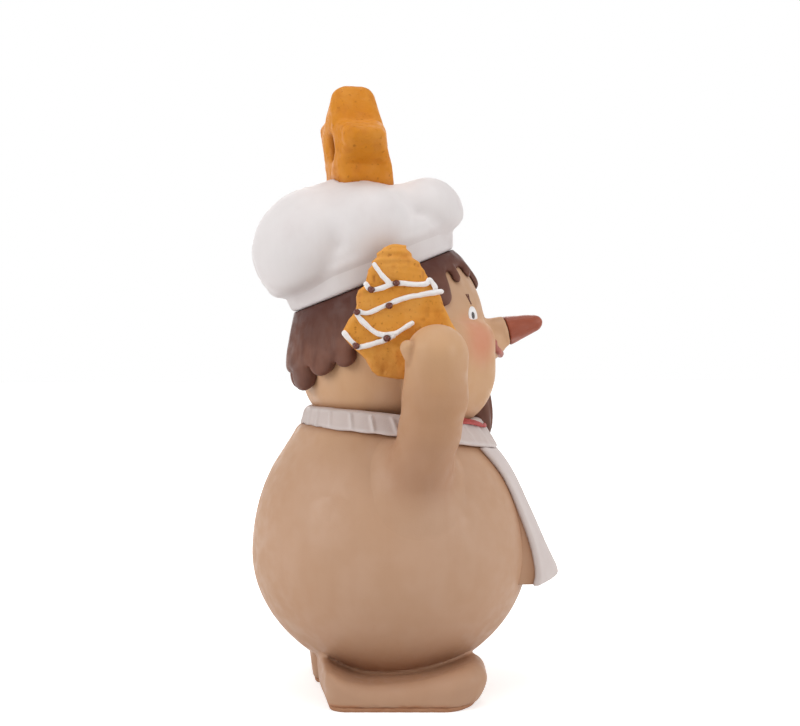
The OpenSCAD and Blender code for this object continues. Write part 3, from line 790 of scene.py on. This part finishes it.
def add_eye_piece(node, finish, turn, *patch):
    """Adds a patch on both sides of the face, as the piece that stands for a node."""
    right, faces = face_patch(-turn, *patch)
    left, _ = face_patch(turn, *patch)
    left_faces = [[len(right) + i for i in face] for face in faces]
    add_piece(f"{node}_form", node, finish, np.concatenate([right, left]), faces + left_faces)


def smile_path():
    """The line of the lips, from one corner to the other over the muzzle."""
    spots = np.array([(-x, z) for x, z in SMILE_HALF[:0:-1]] + SMILE_HALF)
    starts = np.stack([spots[:, 0], np.full(len(spots), -70.0), spots[:, 1]], -1)
    ways = np.tile([0.0, 1.0, 0.0], (len(spots), 1))
    return onto(head_piece, starts, ways, 60)


def brow_paths():
    paths = []
    for side, path in itertools.product((-1, 1), BROWS):
        turn, rise = np.array(path, float).T
        paths.append(on_head(head_piece, face_ways(side * turn, rise)))
    return paths


SMILE = smile_path()
BROW_PATHS = brow_paths()


def mouth_field(p):
    return strokes(p, [SMILE], LIP_R)


def brows_field(p):
    return strokes(p, BROW_PATHS, BROW_R)


def beard_field(p):
    """A blunt goatee with grooves, narrower towards its end."""
    q = (p - BEARD_CENTRE) @ turn_x(BEARD_LEAN)
    grooves = 0.35 * np.cos(9 * np.arctan2(q[..., 0], -q[..., 1] - 1) + 0.15 * q[..., 2])
    narrow = 1 + 0.25 * np.clip(-q[..., 2] / 11, -0.5, 1)
    q = q * np.stack([narrow, narrow, np.ones_like(narrow)], -1)
    return ellipsoid(q, (0, 0, 0), (7.5, 5.2, 11.5)) - grooves * 0.8


def beard_piece(p):
    form = cut(beard_field(p), head_field(p) - GLUE, ROUND_SOFT)
    return cut(form, torso_field(p) - GLUE, ROUND_SOFT)


# Hair: each drip has its turn from the back and the rise of its tip, in degrees, and its half width
DRIPS = [
    (21, -34, 5.0), (40, -26.5, 5.2), (56.5, -22.5, 4.0), (71, -15, 4.4), (87, -7, 4.4),
    (103, 2, 4.6), (118, 11.5, 4.4), (135.5, 26.5, 2.5), (158, 31, 3.0), (180, 23, 4.8),
]
HAIRLINE_TURNS = (0, 26, 30, 50, 63, 78, 95, 110, 127, 149, 180)
HAIRLINE_RISES = (-25.5, -23.5, -22, -20, -12, -4, 6, 16, 33, 38, 38)
HAIR_R = 35.0


def hair_hem(p):
    """How far a point is below the hem, measured over the skull."""
    q = mirrored(p) - SKULL
    turn = np.arctan2(q[..., 0], q[..., 1])
    rise = np.arctan2(q[..., 2], np.hypot(q[..., 0], q[..., 1]))
    height = HAIR_R * rise
    hem = HAIR_R * np.radians(np.interp(np.degrees(turn), HAIRLINE_TURNS, HAIRLINE_RISES)) - height
    for at, tip, half in DRIPS:
        across = HAIR_R * np.cos(rise) * (turn - math.radians(at))
        below = np.minimum(height - HAIR_R * math.radians(tip) - half, 0)
        hem = join(hem, np.hypot(across, below) - half, 1)
    return hem


def hair_field(p):
    """A thick cap over the skull with a wavy hem."""
    shell = join(sphere(p, FACE, FACE_R + 2.1), sphere(p, SKULL + [0, 3, -13], SKULL_R + 0.6), 3)
    return both(shell, hair_hem(p), 3.6)


def hair_piece(p):
    form = cut(hair_field(p), head_field(p) - GLUE, SEAT_SOFT)
    form = both(form, hat_frame(p)[..., 2] + GLUE, SEAT_SOFT)
    return form - 0.1 * rough(p * [1, 1, 0.3], 4, 3)


# Painted shadow under the hat, and painted shade along the hair's hem against the head
def hair_shade(p):
    hat_shadow = between(hat_frame(p)[..., 2], -14, 0)
    return darkest(hat_shadow, fade(head_field(p) - 0.3, 0.8, 0.5))


# Hat
BAND_R = 29.7
CROWN_MIDDLE = np.array([0.0, -4.5, 17.9])
CROWN_SOFT = 2.5
CROWN_SUNK = 0.35
PUFFS = 6
PUFF_SIDE = 19.4
PUFF_BACK = 24.4
PUFF_R = 16.2


def band_side(q):
    """Distance from the side of the band, which leans out a little at the front."""
    front = between(-q[..., 1], 0, 28)
    height = np.minimum(q[..., 2], BAND_TOP)
    radius = BAND_R + 0.1 * height + front * (0.9 + 0.26 * height)
    return np.hypot(q[..., 0], q[..., 1]) - radius


def band_field(p):
    """The band has a rounded rim."""
    q = hat_frame(p)
    ring = both(band_side(q) - 0.15 * rough(p, 6, 4), q[..., 2] - BAND_TOP, 1.5)
    return both(ring, 0.05 - q[..., 2], 1.6)


def crown_field(p):
    """Puffs around a ball, smooth above and parted below. The back is fuller."""
    q = hat_frame(p) - CROWN_MIDDLE
    soft = np.interp(q[..., 2], (-10, -3, 8), (1, 4, 7))
    crown = limb(q, (0, 5.5, -4.9), (0, 15.2, -3.9), 25.4, 24.7)
    for i in range(PUFFS):
        turn = 2 * math.pi * (i + 0.5) / PUFFS
        back, side = math.cos(turn), math.sin(turn)
        puff = np.array([PUFF_SIDE * side, PUFF_BACK * back + 0.3, 1.7 * back - 1.9])
        crown = join(crown, sphere(q, puff, PUFF_R + 3.6 * back - 1.5 * side**2), soft)
    return crown - 0.15 * rough(p, 9, 6)


def crown_piece(p):
    q = hat_frame(p)
    neck = both(band_side(q) + 0.2, q[..., 2] - 15, 4)
    crown = both(join(crown_field(p), neck, 1.5), 6 - q[..., 2], 4.5)
    crown = onto_host(crown, band_field(p), CROWN_SOFT, CROWN_SUNK)
    return cut(crown, star_field(p) - STAR_GAP, 0.6)


# Painted shade around the star's base and where the crown meets the band
def crown_shade(p):
    return darkest(fade(star_field(p), 1.6, 0.6), fade(band_field(p), 2.5, 0.25))


# Painted shade under the crown's puffs and along the band's lower rim
def band_shade(p):
    return darkest(fade(crown_field(p), 2.5, 0.25), fade(hat_frame(p)[..., 2], 0.9, 0.8))


# Star cookie
STAR_CENTRE = np.array([0.0, 12.6, 187.7])
STAR_TURN = math.radians(9)
STAR_ROLL = math.radians(8)
STAR_TIPS = 5
STAR_TIP_R = 25.0
STAR_NOTCH_R = 13.2
STAR_ROUND = 2.6
STAR_FRONT = 9.6
STAR_BACK = 8.6
STAR_GAP = 0.2
STAR_HOLE_R = 4.4
STAR_HOLE_UP = 0.8


def star_frame(p):
    """Coordinates across, through and up the star."""
    return np.moveaxis((p - STAR_CENTRE) @ turn_z(STAR_TURN), -1, 0)


def star_outline(u, v):
    corners = []
    for i in range(2 * STAR_TIPS):
        r = STAR_NOTCH_R if i % 2 else STAR_TIP_R
        turn = math.pi * i / STAR_TIPS - STAR_ROLL
        corners.append((r * math.sin(turn), r * math.cos(turn)))
    return polygon(u, v, inset(corners, STAR_ROUND)) - STAR_ROUND


def star_hole(u, v):
    return np.hypot(u, v - STAR_HOLE_UP) - STAR_HOLE_R


def star_field(p):
    """A thick star with a hole.

    It is thinner towards its tips, fuller in front towards its legs, and bent forward at the top.
    """
    u, depth, v = star_frame(p)
    from_middle = np.hypot(u, v)
    front = STAR_FRONT - 0.28 * np.maximum(from_middle - 9.5, 0) + 0.27 * np.maximum(-v, 0)
    back = STAR_BACK - 0.12 * np.maximum(from_middle - 9, 0) + 0.05 * np.maximum(v, 0)
    lean = 0.06 * v - 0.007 * np.maximum(v - 8, 0) ** 2
    edge = np.interp(v, (12, 24), (3.2, 5))
    body = slab(star_outline(u, v), depth - lean - (back - front) / 2, (front + back) / 2, edge)
    return cut(body, star_hole(u, v), 3)


def star_piece(p):
    return star_field(p) - 0.28 * rough(p, 5, 7) - 0.12 * rough(p, 2, 8)


# Painted shade in the star's hole and where it sits in the crown
def star_shade(p):
    u, _, v = star_frame(p)
    return darkest(fade(np.abs(star_hole(u, v)), 1.4, 0.8), fade(crown_field(p), 2, 0.5))


# Arms, as points from the shoulder to the hand with a radius at each
RIGHT_ARM = [(-38, -4.5, 69), (-41.5, -6.2, 82), (-44, -8.3, 92), (-46.2, -9.8, 103), (-47.7, -10.2, 116.5)]
RIGHT_ARM_R = [8.6, 9.3, 9.7, 10.1, 10.3]
LEFT_ARM = [(38.5, -7, 73), (47, -7.5, 65), (52.5, -9.5, 57), (50.5, -21, 54), (41, -33.5, 52)]
LEFT_ARM_R = [9.3, 9.4, 9.3, 8.9, 8.4]
ELBOW_SOFT = 3.0
ARM_SOFT = 9.0
ARM_SUNK = 0.15
RUFFLE_GAP = 0.3
COOKIE_GAP = 0.15


def right_thumb(p):
    return limb(p, (-47.8, -6, 109), (-50.9, -0.4, 119.2), 3.0, 2.6)


def right_arm_limb(p):
    arm = chain(p, RIGHT_ARM, RIGHT_ARM_R, ELBOW_SOFT)
    return join(arm, right_thumb(p), 0.7)


def left_arm_limb(p):
    arm = chain(p, LEFT_ARM, LEFT_ARM_R, ELBOW_SOFT)
    thumb = limb(p, (44, -32, 60), (38, -37, 59), 2.9, 2.6)
    return join(arm, thumb, 1)


def arm_on_torso(arm, p):
    form = onto_host(arm, torso_form(p), ARM_SOFT, ARM_SUNK)
    return cut(form, ruffle_near(p) - RUFFLE_GAP, ROUND_SOFT)


def right_arm_piece(p):
    return cut(arm_on_torso(right_arm_limb(p), p), cookie_field(p) - COOKIE_GAP, ROUND_SOFT)


def left_arm_piece(p):
    return arm_on_torso(left_arm_limb(p), p)


# Painted shade in the thumb's fold, beside the cookie and the ruffle, and a painted shadow down the arm's
# middle and under the elbow
def right_arm_shade(p):
    crease = np.abs(chain(p, RIGHT_ARM, RIGHT_ARM_R, ELBOW_SOFT)) + np.abs(right_thumb(p))
    on_arm = np.clip(1 - right_arm_limb(p) / 5, 0, 1)
    painted_arm_shadow = np.interp(p[..., 2], (64, 73, 104, 120), (0, 0.55, 0.5, 0)) * on_arm
    return darkest(
        fade(crease, 1.8, 0.8),
        fade(cookie_field(p), 1.6, 0.6),
        fade(ruffle_near(p), 2.5, 0.8),
        painted_arm_shadow,
    )


# Painted shade under the ruffle
def left_arm_shade(p):
    return fade(ruffle_near(p), 2.5, 0.8)


# Tree cookie, with its icing and beads: outline, lines and dots are given as Y and Z
TREE = [
    (6.4, 151.8), (3, 152.6), (-0.7, 152.2), (-2.1, 149.9), (-6, 145.8), (-7.8, 142.3), (-10, 139.1),
    (-12.3, 136), (-13, 133.2), (-15.3, 128.2), (-17.5, 124.5), (-16.3, 121), (-12, 116.5), (-8, 111.5),
    (-4, 109.6), (0, 109.1), (4.2, 109.3), (8.1, 110.1), (9.9, 111.6), (11.9, 115.5), (17, 120.1),
    (19.1, 122.6), (19.7, 124.1), (17.3, 128.5), (15.6, 130.6), (14.8, 133.1), (14.9, 135.6), (14.3, 137.7),
    (12.2, 139.4), (11.8, 141.2), (11, 144), (9.5, 147.2), (8.1, 149.6),
]
TIERS = (108, 121.5, 130.6, 139.4, 153)
TIER_BULGE = 0.5
GARLANDS = [
    [(9.6, 146.2), (7, 142.6), (4.5, 139.9)],
    [(12.4, 139.8), (10.7, 137.9), (7, 138.6), (2.5, 140), (-6.7, 139.8), (-8.6, 141.2), (-10.4, 138.8)],
    [(15.4, 130.8), (11.7, 130.5), (6.4, 132.7), (1.5, 134.7), (-3.4, 136), (-12.2, 137.5)],
    [(15.3, 130), (12, 126.2), (8.1, 123.7), (3.2, 123.7), (-2.7, 127.2)],
    [(19.4, 124), (15.6, 119.8), (13.6, 119.5), (6.8, 121.4), (3.5, 123)],
]
ICING_R = 0.85
ICING_LIFT = 0.3
BEADS = [(10.7, 138), (2.5, 140.2), (4.8, 132.8), (15.4, 130.8), (5.5, 122.2), (15.6, 119.8)]
BEAD_RADII = (0.95, 1.15, 1.05)
BEAD_LIFT = 0.9
FAR = 99.0


def cookie_field(p):
    depth = p[..., 0] - COOKIE_FACE_X - COOKIE_T / 2
    tier = np.interp(p[..., 2], TIERS, range(len(TIERS)))
    bulge = TIER_BULGE * np.abs(np.sin(math.pi * tier)) ** 0.7
    return slab(polygon(p[..., 1], p[..., 2], TREE) - 0.2, depth, COOKIE_T / 2 - 0.4 + bulge, 1.8)


def pores(p, least):
    """Small pits in clusters, where noise is over a least value."""
    return np.clip(rough(p, 1.6, 11) - least, 0, 1) * np.clip(0.6 + rough(p, 9, 12), 0, 1)


def cookie_piece(p):
    at_top = between(p[..., 2], 143, 147)
    ridges = 0.28 * at_top * np.sin(p[..., 2] * 2.6 + 0.04 * (p[..., 1] - 3) ** 2)
    lumps = 0.2 * rough(p, 5, 9) + 0.12 * rough(p, 2, 10)
    return cookie_field(p) - lumps - ridges + 0.9 * pores(p, 0.45)


# The cookie's own darker pits, painted shade beside the hand, and darker towards its bottom
def cookie_shade(p):
    foot = 0.5 * between(-p[..., 2], -118, -109)
    return darkest(1.6 * pores(p, 0.4), foot, fade(right_arm_limb(p), 2, 0.6))


def on_cookie(spot, lift):
    return (COOKIE_FACE_X - lift, *spot)


def curve(spots, pieces=5):
    """A smooth line through spots."""
    spots = np.asarray(spots, float)
    ends = np.concatenate([2 * spots[:1] - spots[1:2], spots, 2 * spots[-1:] - spots[-2:-1]])
    line = [spots[0]]
    for a, b, c, d in zip(ends, ends[1:], ends[2:], ends[3:]):
        for t in np.arange(1, pieces + 1) / pieces:
            bend = (2 * a - 5 * b + 4 * c - d) * t**2 + (3 * b - a - 3 * c + d) * t**3
            line.append(b + ((c - a) * t + bend) / 2)
    return line


def icing_field(p):
    paths = [[on_cookie(spot, ICING_LIFT) for spot in curve(path)] for path in GARLANDS]
    return strokes(p, paths, ICING_R) - 0.22 * rough(p, 2.4, 13) - 0.1 * rough(p, 1.1, 14)


def icing_piece(p):
    return cut(icing_field(p), beads_field(p) - THIN_GLUE, 0.15)


def beads_field(p):
    whole = np.full(p.shape[:-1], FAR)
    for spot in BEADS:
        whole = np.minimum(whole, ellipsoid(p, on_cookie(spot, BEAD_LIFT), BEAD_RADII))
    return whole - 0.1 * rough(p, 1.5, 15)


# Ruffle
RUFFLE_T = 5.5
RUFFLE_EDGE = 2.0
RUFFLE_Z = 91.0
RUFFLE_R = 33.2
RUFFLE_H = 7.0
RUFFLE_FRONT_H = 4.0
PLEAT_DEPTH = 0.7
PLEATS = 24


def ruffle_frame(p):
    """Turn from the front, height as a share of the ruffle from -0.5 to 0.5, and how tall it is.

    It is taller in front.
    """
    turn = np.arctan2(p[..., 0], -p[..., 1])
    front = np.clip(np.cos(turn), 0, 1) ** 2
    middle = RUFFLE_Z - 4 * np.cos(turn) + 2 * np.sin(turn) ** 2 + 2 * front
    tall = RUFFLE_H + RUFFLE_FRONT_H * front
    return turn, (p[..., 2] - middle) / tall, tall


def ruffle_near(p):
    """Distance from the ruffle without its pleats."""
    turn, height, tall = ruffle_frame(p)
    reach = RUFFLE_R + 2.1 * np.cos(turn) - (4.5 + 2.3 * np.cos(turn)) * height
    depth = np.hypot(p[..., 0], p[..., 1]) - reach + RUFFLE_T / 2
    return slab((np.abs(height) - 0.5) * tall, depth, RUFFLE_T / 2, RUFFLE_EDGE)


def pleats(p):
    """Hollows between the pleats, from 0 to 1, framed by a rim above and below."""
    turn, height, _ = ruffle_frame(p)
    wander = 0.5 * np.sin(3 * turn + 1) + 0.35 * np.sin(7 * turn) + 0.9 * height
    ridge = np.exp(-(np.sin(PLEATS * turn / 2 + wander) / 0.25) ** 2)
    return (1 - ridge) * np.clip(1.5 - (2.9 * np.abs(height)) ** 2, 0, 1)


def ruffle_piece(p):
    form = ruffle_near(p) + PLEAT_DEPTH * pleats(p) - 0.2 * rough(p, 4, 16)
    form = cut(form, torso_field(p) - THIN_GLUE, SEAT_SOFT)
    form = cut(form, beard_field(p) - GLUE, SEAT_SOFT)
    return cut(form, head_field(p) - GLUE, SEAT_SOFT)


# Painted shade in the hollows between the pleats and against the torso
def ruffle_shade(p):
    return darkest(0.3 * pleats(p), fade(torso_field(p) - 0.4, 1, 0.6))


# Apron
APRON_TOP = 87.0
BIB_Z = 81.0
BIB_HALF = 22.0
BIB_CURVE = 44.0
HEM_Z = 41.5
HEM_HALF = 23.0
HEM_DROP = 4.4
HEM_REACH = TORSO_R + 11
APRON_T = 1.8
APRON_COVER = 1.4
BACKING_TOP = 86.0
BACKING_INSET = 1.7
BACKING_SUNK = 0.6


def torso_r_at(z):
    reach = np.where(z > WAIST_Z, DOME_H, BELLY_H)
    return TORSO_R * np.sqrt(np.maximum(0, 1 - ((z - WAIST_Z) / reach) ** 2))


def apron_share(z):
    """0 at the bib's line and 1 at the hem."""
    return np.clip((BIB_Z - z) / (BIB_Z - HEM_Z), -0.15, 1.1)


def apron_half(z):
    return BIB_HALF + (HEM_HALF - BIB_HALF) * apron_share(z)


def apron_curve(z):
    """Radius of the apron's bend around the belly."""
    return BIB_CURVE - 17.3 * np.maximum(apron_share(z), 0) ** 3


def apron_front(x, z):
    """How far the apron reaches, with more room over the belly towards its hem."""
    bib_reach = torso_r_at(BIB_Z) + 1
    share = apron_share(z)
    flare = bib_reach + (HEM_REACH - bib_reach) * share + 9 * share * (1 - share) ** 2
    flare = flare - x * x / (2 * apron_curve(z))
    belly_r = torso_r_at(z) + 0.3 + 2.2 * np.maximum(share, 0)
    belly = np.sqrt(np.maximum(0, belly_r**2 - x * x))
    return (flare + belly + np.hypot(flare - belly, 0.6)) / 2


def apron_steep(x, z):
    """How much longer a step to the front is than one straight off the apron's face."""
    return np.sqrt(1.25 + (x / apron_curve(z)) ** 2)


def apron_face(p):
    """Distance in front of the apron's outer face, which always covers the torso."""
    x, z = p[..., 0], p[..., 2]
    fold = 0.25 * np.sin(0.42 * x + 0.6) * apron_share(z)
    flare = (-p[..., 1] - apron_front(x, z) - fold) / apron_steep(x, z)
    return join(flare, torso_field(p) - APRON_COVER, 1)


def hem_at(x):
    share = np.abs(x) / HEM_HALF
    return HEM_Z - HEM_DROP * share * (0.7 + 0.3 * share)


def apron_field(p):
    x, z = p[..., 0], p[..., 2]
    ends = np.maximum(hem_at(x) - z, z - APRON_TOP)
    sides = both(np.abs(x) - apron_half(z), ends, ROUND_SOFT)
    return slab(sides, apron_face(p) + APRON_T / 2, APRON_T / 2, 0.6)


def apron_piece(p):
    form = cut(apron_field(p), torso_field(p) - THIN_GLUE, SEAT_SOFT)
    return cut(form, ruffle_near(p) - GLUE, SEAT_SOFT)


# Painted shade along the apron's side edges and on its back
def apron_shade(p):
    edge = apron_half(p[..., 2]) - np.abs(p[..., 0])
    behind = between(-apron_face(p), APRON_T - 0.4, APRON_T)
    return darkest(fade(edge, 1.2, 0.25), 0.5 * behind)


def backing_field(p):
    """A wedge between the belly and the apron."""
    x, z = p[..., 0], p[..., 2]
    front = (-p[..., 1] - apron_front(x, z) + BACKING_INSET) / apron_steep(x, z)
    ends = np.maximum(hem_at(x) + 0.3 - z, z - BACKING_TOP)
    sides = both(np.abs(x) - apron_half(z) + 0.5, ends, 0.8)
    wedge = both(both(front, sides, 0.4), p[..., 1] + 22, 1)
    return both(wedge, -torso_field(p) - BACKING_SUNK, SEAT_SOFT)


def backing_piece(p):
    return cut(backing_field(p), ruffle_near(p) - GLUE, SEAT_SOFT)


# Painted shade on the wedge, darkest under the apron
def backing_shade(p):
    return fade(apron_field(p), 4.5, 0.75)


# Bow
BOW_CENTRE = np.array([0.0, -33.0, 91.2])
BOW_END = np.array([24.0, -21.0, 94.6])
BOW_BEND = np.array([2.6, -4.6, -0.8])
KNOT_RADII = (2.4, 3.2, 2.2)
RIBBON_T = 0.8


def bow_seat(form, p):
    """Takes the torso, the beard and the ruffle out of a piece of the bow."""
    form = cut(form, torso_field(p) - GLUE, SEAT_SOFT)
    form = cut(form, beard_field(p) - GLUE, 0.2)
    return cut(form, ruffle_near(p) - THIN_GLUE, 0.1)


def knot_field(p):
    return ellipsoid(p, BOW_CENTRE, KNOT_RADII)


def knot_piece(p):
    return bow_seat(knot_field(p) - 0.15 * np.cos(3 * p[..., 0]), p)


def wings_piece(p):
    """A flat ribbon that lies on the ruffle and widens away from its knot."""
    middle = (BOW_CENTRE + BOW_END) / 2 + BOW_BEND
    wing = chain(mirrored(p), (BOW_CENTRE, middle, BOW_END), (0.4, 0.9, 1.8), 0.5)
    wing = both(wing, ruffle_near(p) - RIBBON_T, 0.3)
    return bow_seat(cut(wing, knot_field(p) - 0.2, 0.2), p)


# Pieces: node, finish, field, the corners of the space to mesh, its step and its painted shade
sculpt("torso", BODY, torso_piece, (-51, -51, 1), (51, 51, 97), 1.5, torso_shade)
sculpt("left_leg", BODY, left_leg_piece, (-2, -36, 0), (50, 34, 24), 1.0, leg_shade)
sculpt("right_leg", BODY, right_leg_piece, (-50, -36, 0), (2, 32, 24), 1.0, leg_shade)
sculpt("sole_pads", SOLE, pads_piece, (-48, -35, -1), (48, 31, 3), 0.6)
sculpt("head", SKIN, head_piece, (-37, -46, 91), (37, 37, 162), 0.8, head_shade)
sculpt("nose_tip", NOSE, nose_tip_field, (-8, -60, 114), (8, -36, 136), 0.45)
sculpt("mouth", LIPS, mouth_field, (-14, -44, 108), (14, -22, 127), 0.4)
sculpt("beard", CHOCOLATE, beard_piece, (-11, -40, 83), (11, -20, 112), 0.5)
sculpt("hair", CHOCOLATE, hair_piece, (-41, -41, 96), (41, 42, 162), 0.7, hair_shade)
sculpt("hat_band", HAT, band_field, (-33, -28, 126), (33, 42, 170), 0.9, band_shade)
sculpt("hat_crown", HAT, crown_piece, (-40, -33, 130), (40, 54, 190), 0.9, crown_shade)
sculpt("star_cookie", STAR, star_piece, (-27, -8, 163), (27, 29, 213), 0.6, star_shade)
sculpt("right_arm", SKIN, right_arm_piece, (-62, -32, 48), (-24, 20, 130), 0.8, right_arm_shade)
sculpt("left_arm", SKIN, left_arm_piece, (20, -52, 34), (66, 24, 96), 0.9, left_arm_shade)
sculpt("tree_cookie", COOKIE, cookie_piece, (-45, -21, 106), (-34, 23, 155), 0.45, cookie_shade)
sculpt("tree_icing", ICING, icing_piece, (-45, -16, 116), (-39, 23, 150), 0.3)
sculpt("chocolate_beads", BEAD, beads_field, (-46, -2, 116), (-40, 19, 143), 0.25)
sculpt("neck_ruffle", APRON, ruffle_piece, (-46, -46, 78), (46, 46, 103), 0.6, ruffle_shade)
sculpt("apron", APRON, apron_piece, (-33, -64, 34), (33, -24, 89), 0.6, apron_shade)
sculpt("apron_backing", BODY, backing_piece, (-33, -62, 35), (33, -20, 88), 0.6, backing_shade)
sculpt("bow_knot", RIBBON, knot_piece, (-5, -40, 85), (5, -28, 95), 0.3)
sculpt("bow_wings", RIBBON, wings_piece, (-29, -41, 85), (29, -15, 100), 0.35)

# Eyes: node, finish, turn, rise, half widths in degrees, then how far they swell and stand out
add_eye_piece("eye_whites", ICING, EYE_TURN, EYE_RISE, 5.6, 5.8, 0.35, 0.05)
add_eye_piece("pupils", PUPIL, EYE_TURN + 1.2, EYE_RISE + 0.2, 2.0, 2.2, 0.2, 0.35)

# The brows are painted lines and stand for no node
brow_points, brow_quads = surface_net(brows_field, (-24, -34, 130), (24, -22, 141), 0.22)
add_piece("brow_strokes", None, CHOCOLATE, brow_points, brow_quads)

# The hidden wire and wood keep their solids
HIDDEN = {"nose_pin": BARE_WIRE, "star_pins": BARE_WIRE, "cookie_pin": BARE_WIRE, "hat_dowel": BARE_WOOD}
for name, material in HIDDEN.items():
    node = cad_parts[name]
    node.data.materials.clear()
    node.data.materials.append(material)

# Studio, in metres
FLOOR_HALF = 3.0
WORLD_LIGHT = 0.26
LIGHT_AIM = (0, 0, 0.11)
CAMERA_PLACE = Vector((-0.5569, 0.0585, 0.1262))
CAMERA_AIM = Vector((0, -0.0035, 0.1132))
CAMERA_LENS = 71.6
CAMERA_SENSOR = 36


def seen_share(tree, share):
    """How much a ray counts as seen by the camera: straight, in a gloss or through glass."""
    path = tree.nodes.new("ShaderNodeLightPath")
    seen = path.outputs["Is Camera Ray"]
    for name in ("Is Glossy Ray", "Is Transmission Ray"):
        seen = add_math(tree, "MAXIMUM", seen, path.outputs[name])
    return add_math(tree, "MULTIPLY", seen, share)


def floor_material():
    """Pale paper that keeps the figure's shadow, and looks white away from the figure."""
    material = bpy.data.materials.new("floor_paper")
    material.use_nodes = True
    tree = material.node_tree
    paper = tree.nodes["Principled BSDF"]
    paper.inputs["Roughness"].default_value = 0.9
    grain = add_node(tree, "ShaderNodeTexNoise", Scale=60)
    shades = add_range(tree, grain.outputs["Fac"], 0.0, 1.0, 0.84, 0.88, "LINEAR")
    feed(tree, paper.inputs["Base Color"], shades)
    place = tree.nodes.new("ShaderNodeTexCoord").outputs["Object"]
    away = add_node(tree, "ShaderNodeVectorMath", "LENGTH", _0=place)
    lift = add_range(tree, away.outputs["Value"], 0.1, 0.4, 0.55, 1.0)
    strength = add_math(tree, "MULTIPLY", seen_share(tree, 1.0), lift)
    glow = add_node(tree, "ShaderNodeEmission", Strength=strength)
    total = add_node(tree, "ShaderNodeAddShader", _0=paper.outputs[0], _1=glow.outputs[0])
    feed(tree, tree.nodes["Material Output"].inputs["Surface"], total.outputs[0])
    return material


def add_floor():
    corners = [(x * FLOOR_HALF, y * FLOOR_HALF, 0) for x, y in ((-1, -1), (1, -1), (1, 1), (-1, 1))]
    mesh = bpy.data.meshes.new("studio_floor")
    mesh.from_pydata(corners, [], [(0, 1, 2, 3)])
    mesh.materials.append(floor_material())
    floor = bpy.data.objects.new("studio_floor", mesh)
    bpy.context.scene.collection.objects.link(floor)


def add_world():
    """Even light from all around, which the camera sees as white."""
    world = bpy.data.worlds.new("studio")
    bpy.context.scene.world = world
    world.use_nodes = True
    tree = world.node_tree
    sky = tree.nodes["Background"]
    sky.inputs["Color"].default_value = (1, 1, 1, 1)
    strength = add_math(tree, "ADD", seen_share(tree, 1 - WORLD_LIGHT), WORLD_LIGHT)
    feed(tree, sky.inputs["Strength"], strength)


def aim(thing, place, target):
    """Puts a lamp or camera at a place, turned to a target, into the scene."""
    thing.location = place
    thing.rotation_euler = (Vector(target) - Vector(place)).to_track_quat("-Z", "Y").to_euler()
    bpy.context.scene.collection.objects.link(thing)


def add_light(name, place, size, power):
    data = bpy.data.lights.new(name, "AREA")
    data.shape = "DISK"
    data.size = size
    data.energy = power
    aim(bpy.data.objects.new(name, data), place, LIGHT_AIM)


def add_camera():
    data = bpy.data.cameras.new("camera")
    data.lens = CAMERA_LENS
    data.sensor_width = CAMERA_SENSOR
    data.clip_start = 0.01
    camera = bpy.data.objects.new("camera", data)
    aim(camera, CAMERA_PLACE, CAMERA_AIM)
    bpy.context.scene.camera = camera


add_floor()
add_world()
add_light("left_box", (-0.35, 0.75, 0.45), 0.6, 3.6)
add_light("right_box", (-0.45, -0.75, 0.4), 0.6, 3.2)
add_light("top_box", (-0.1, 0, 0.95), 0.7, 2.6)
add_light("far_box", (0.75, 0, 0.35), 0.7, 2.0)
add_camera()
bpy.context.scene.view_settings.view_transform = "Standard"
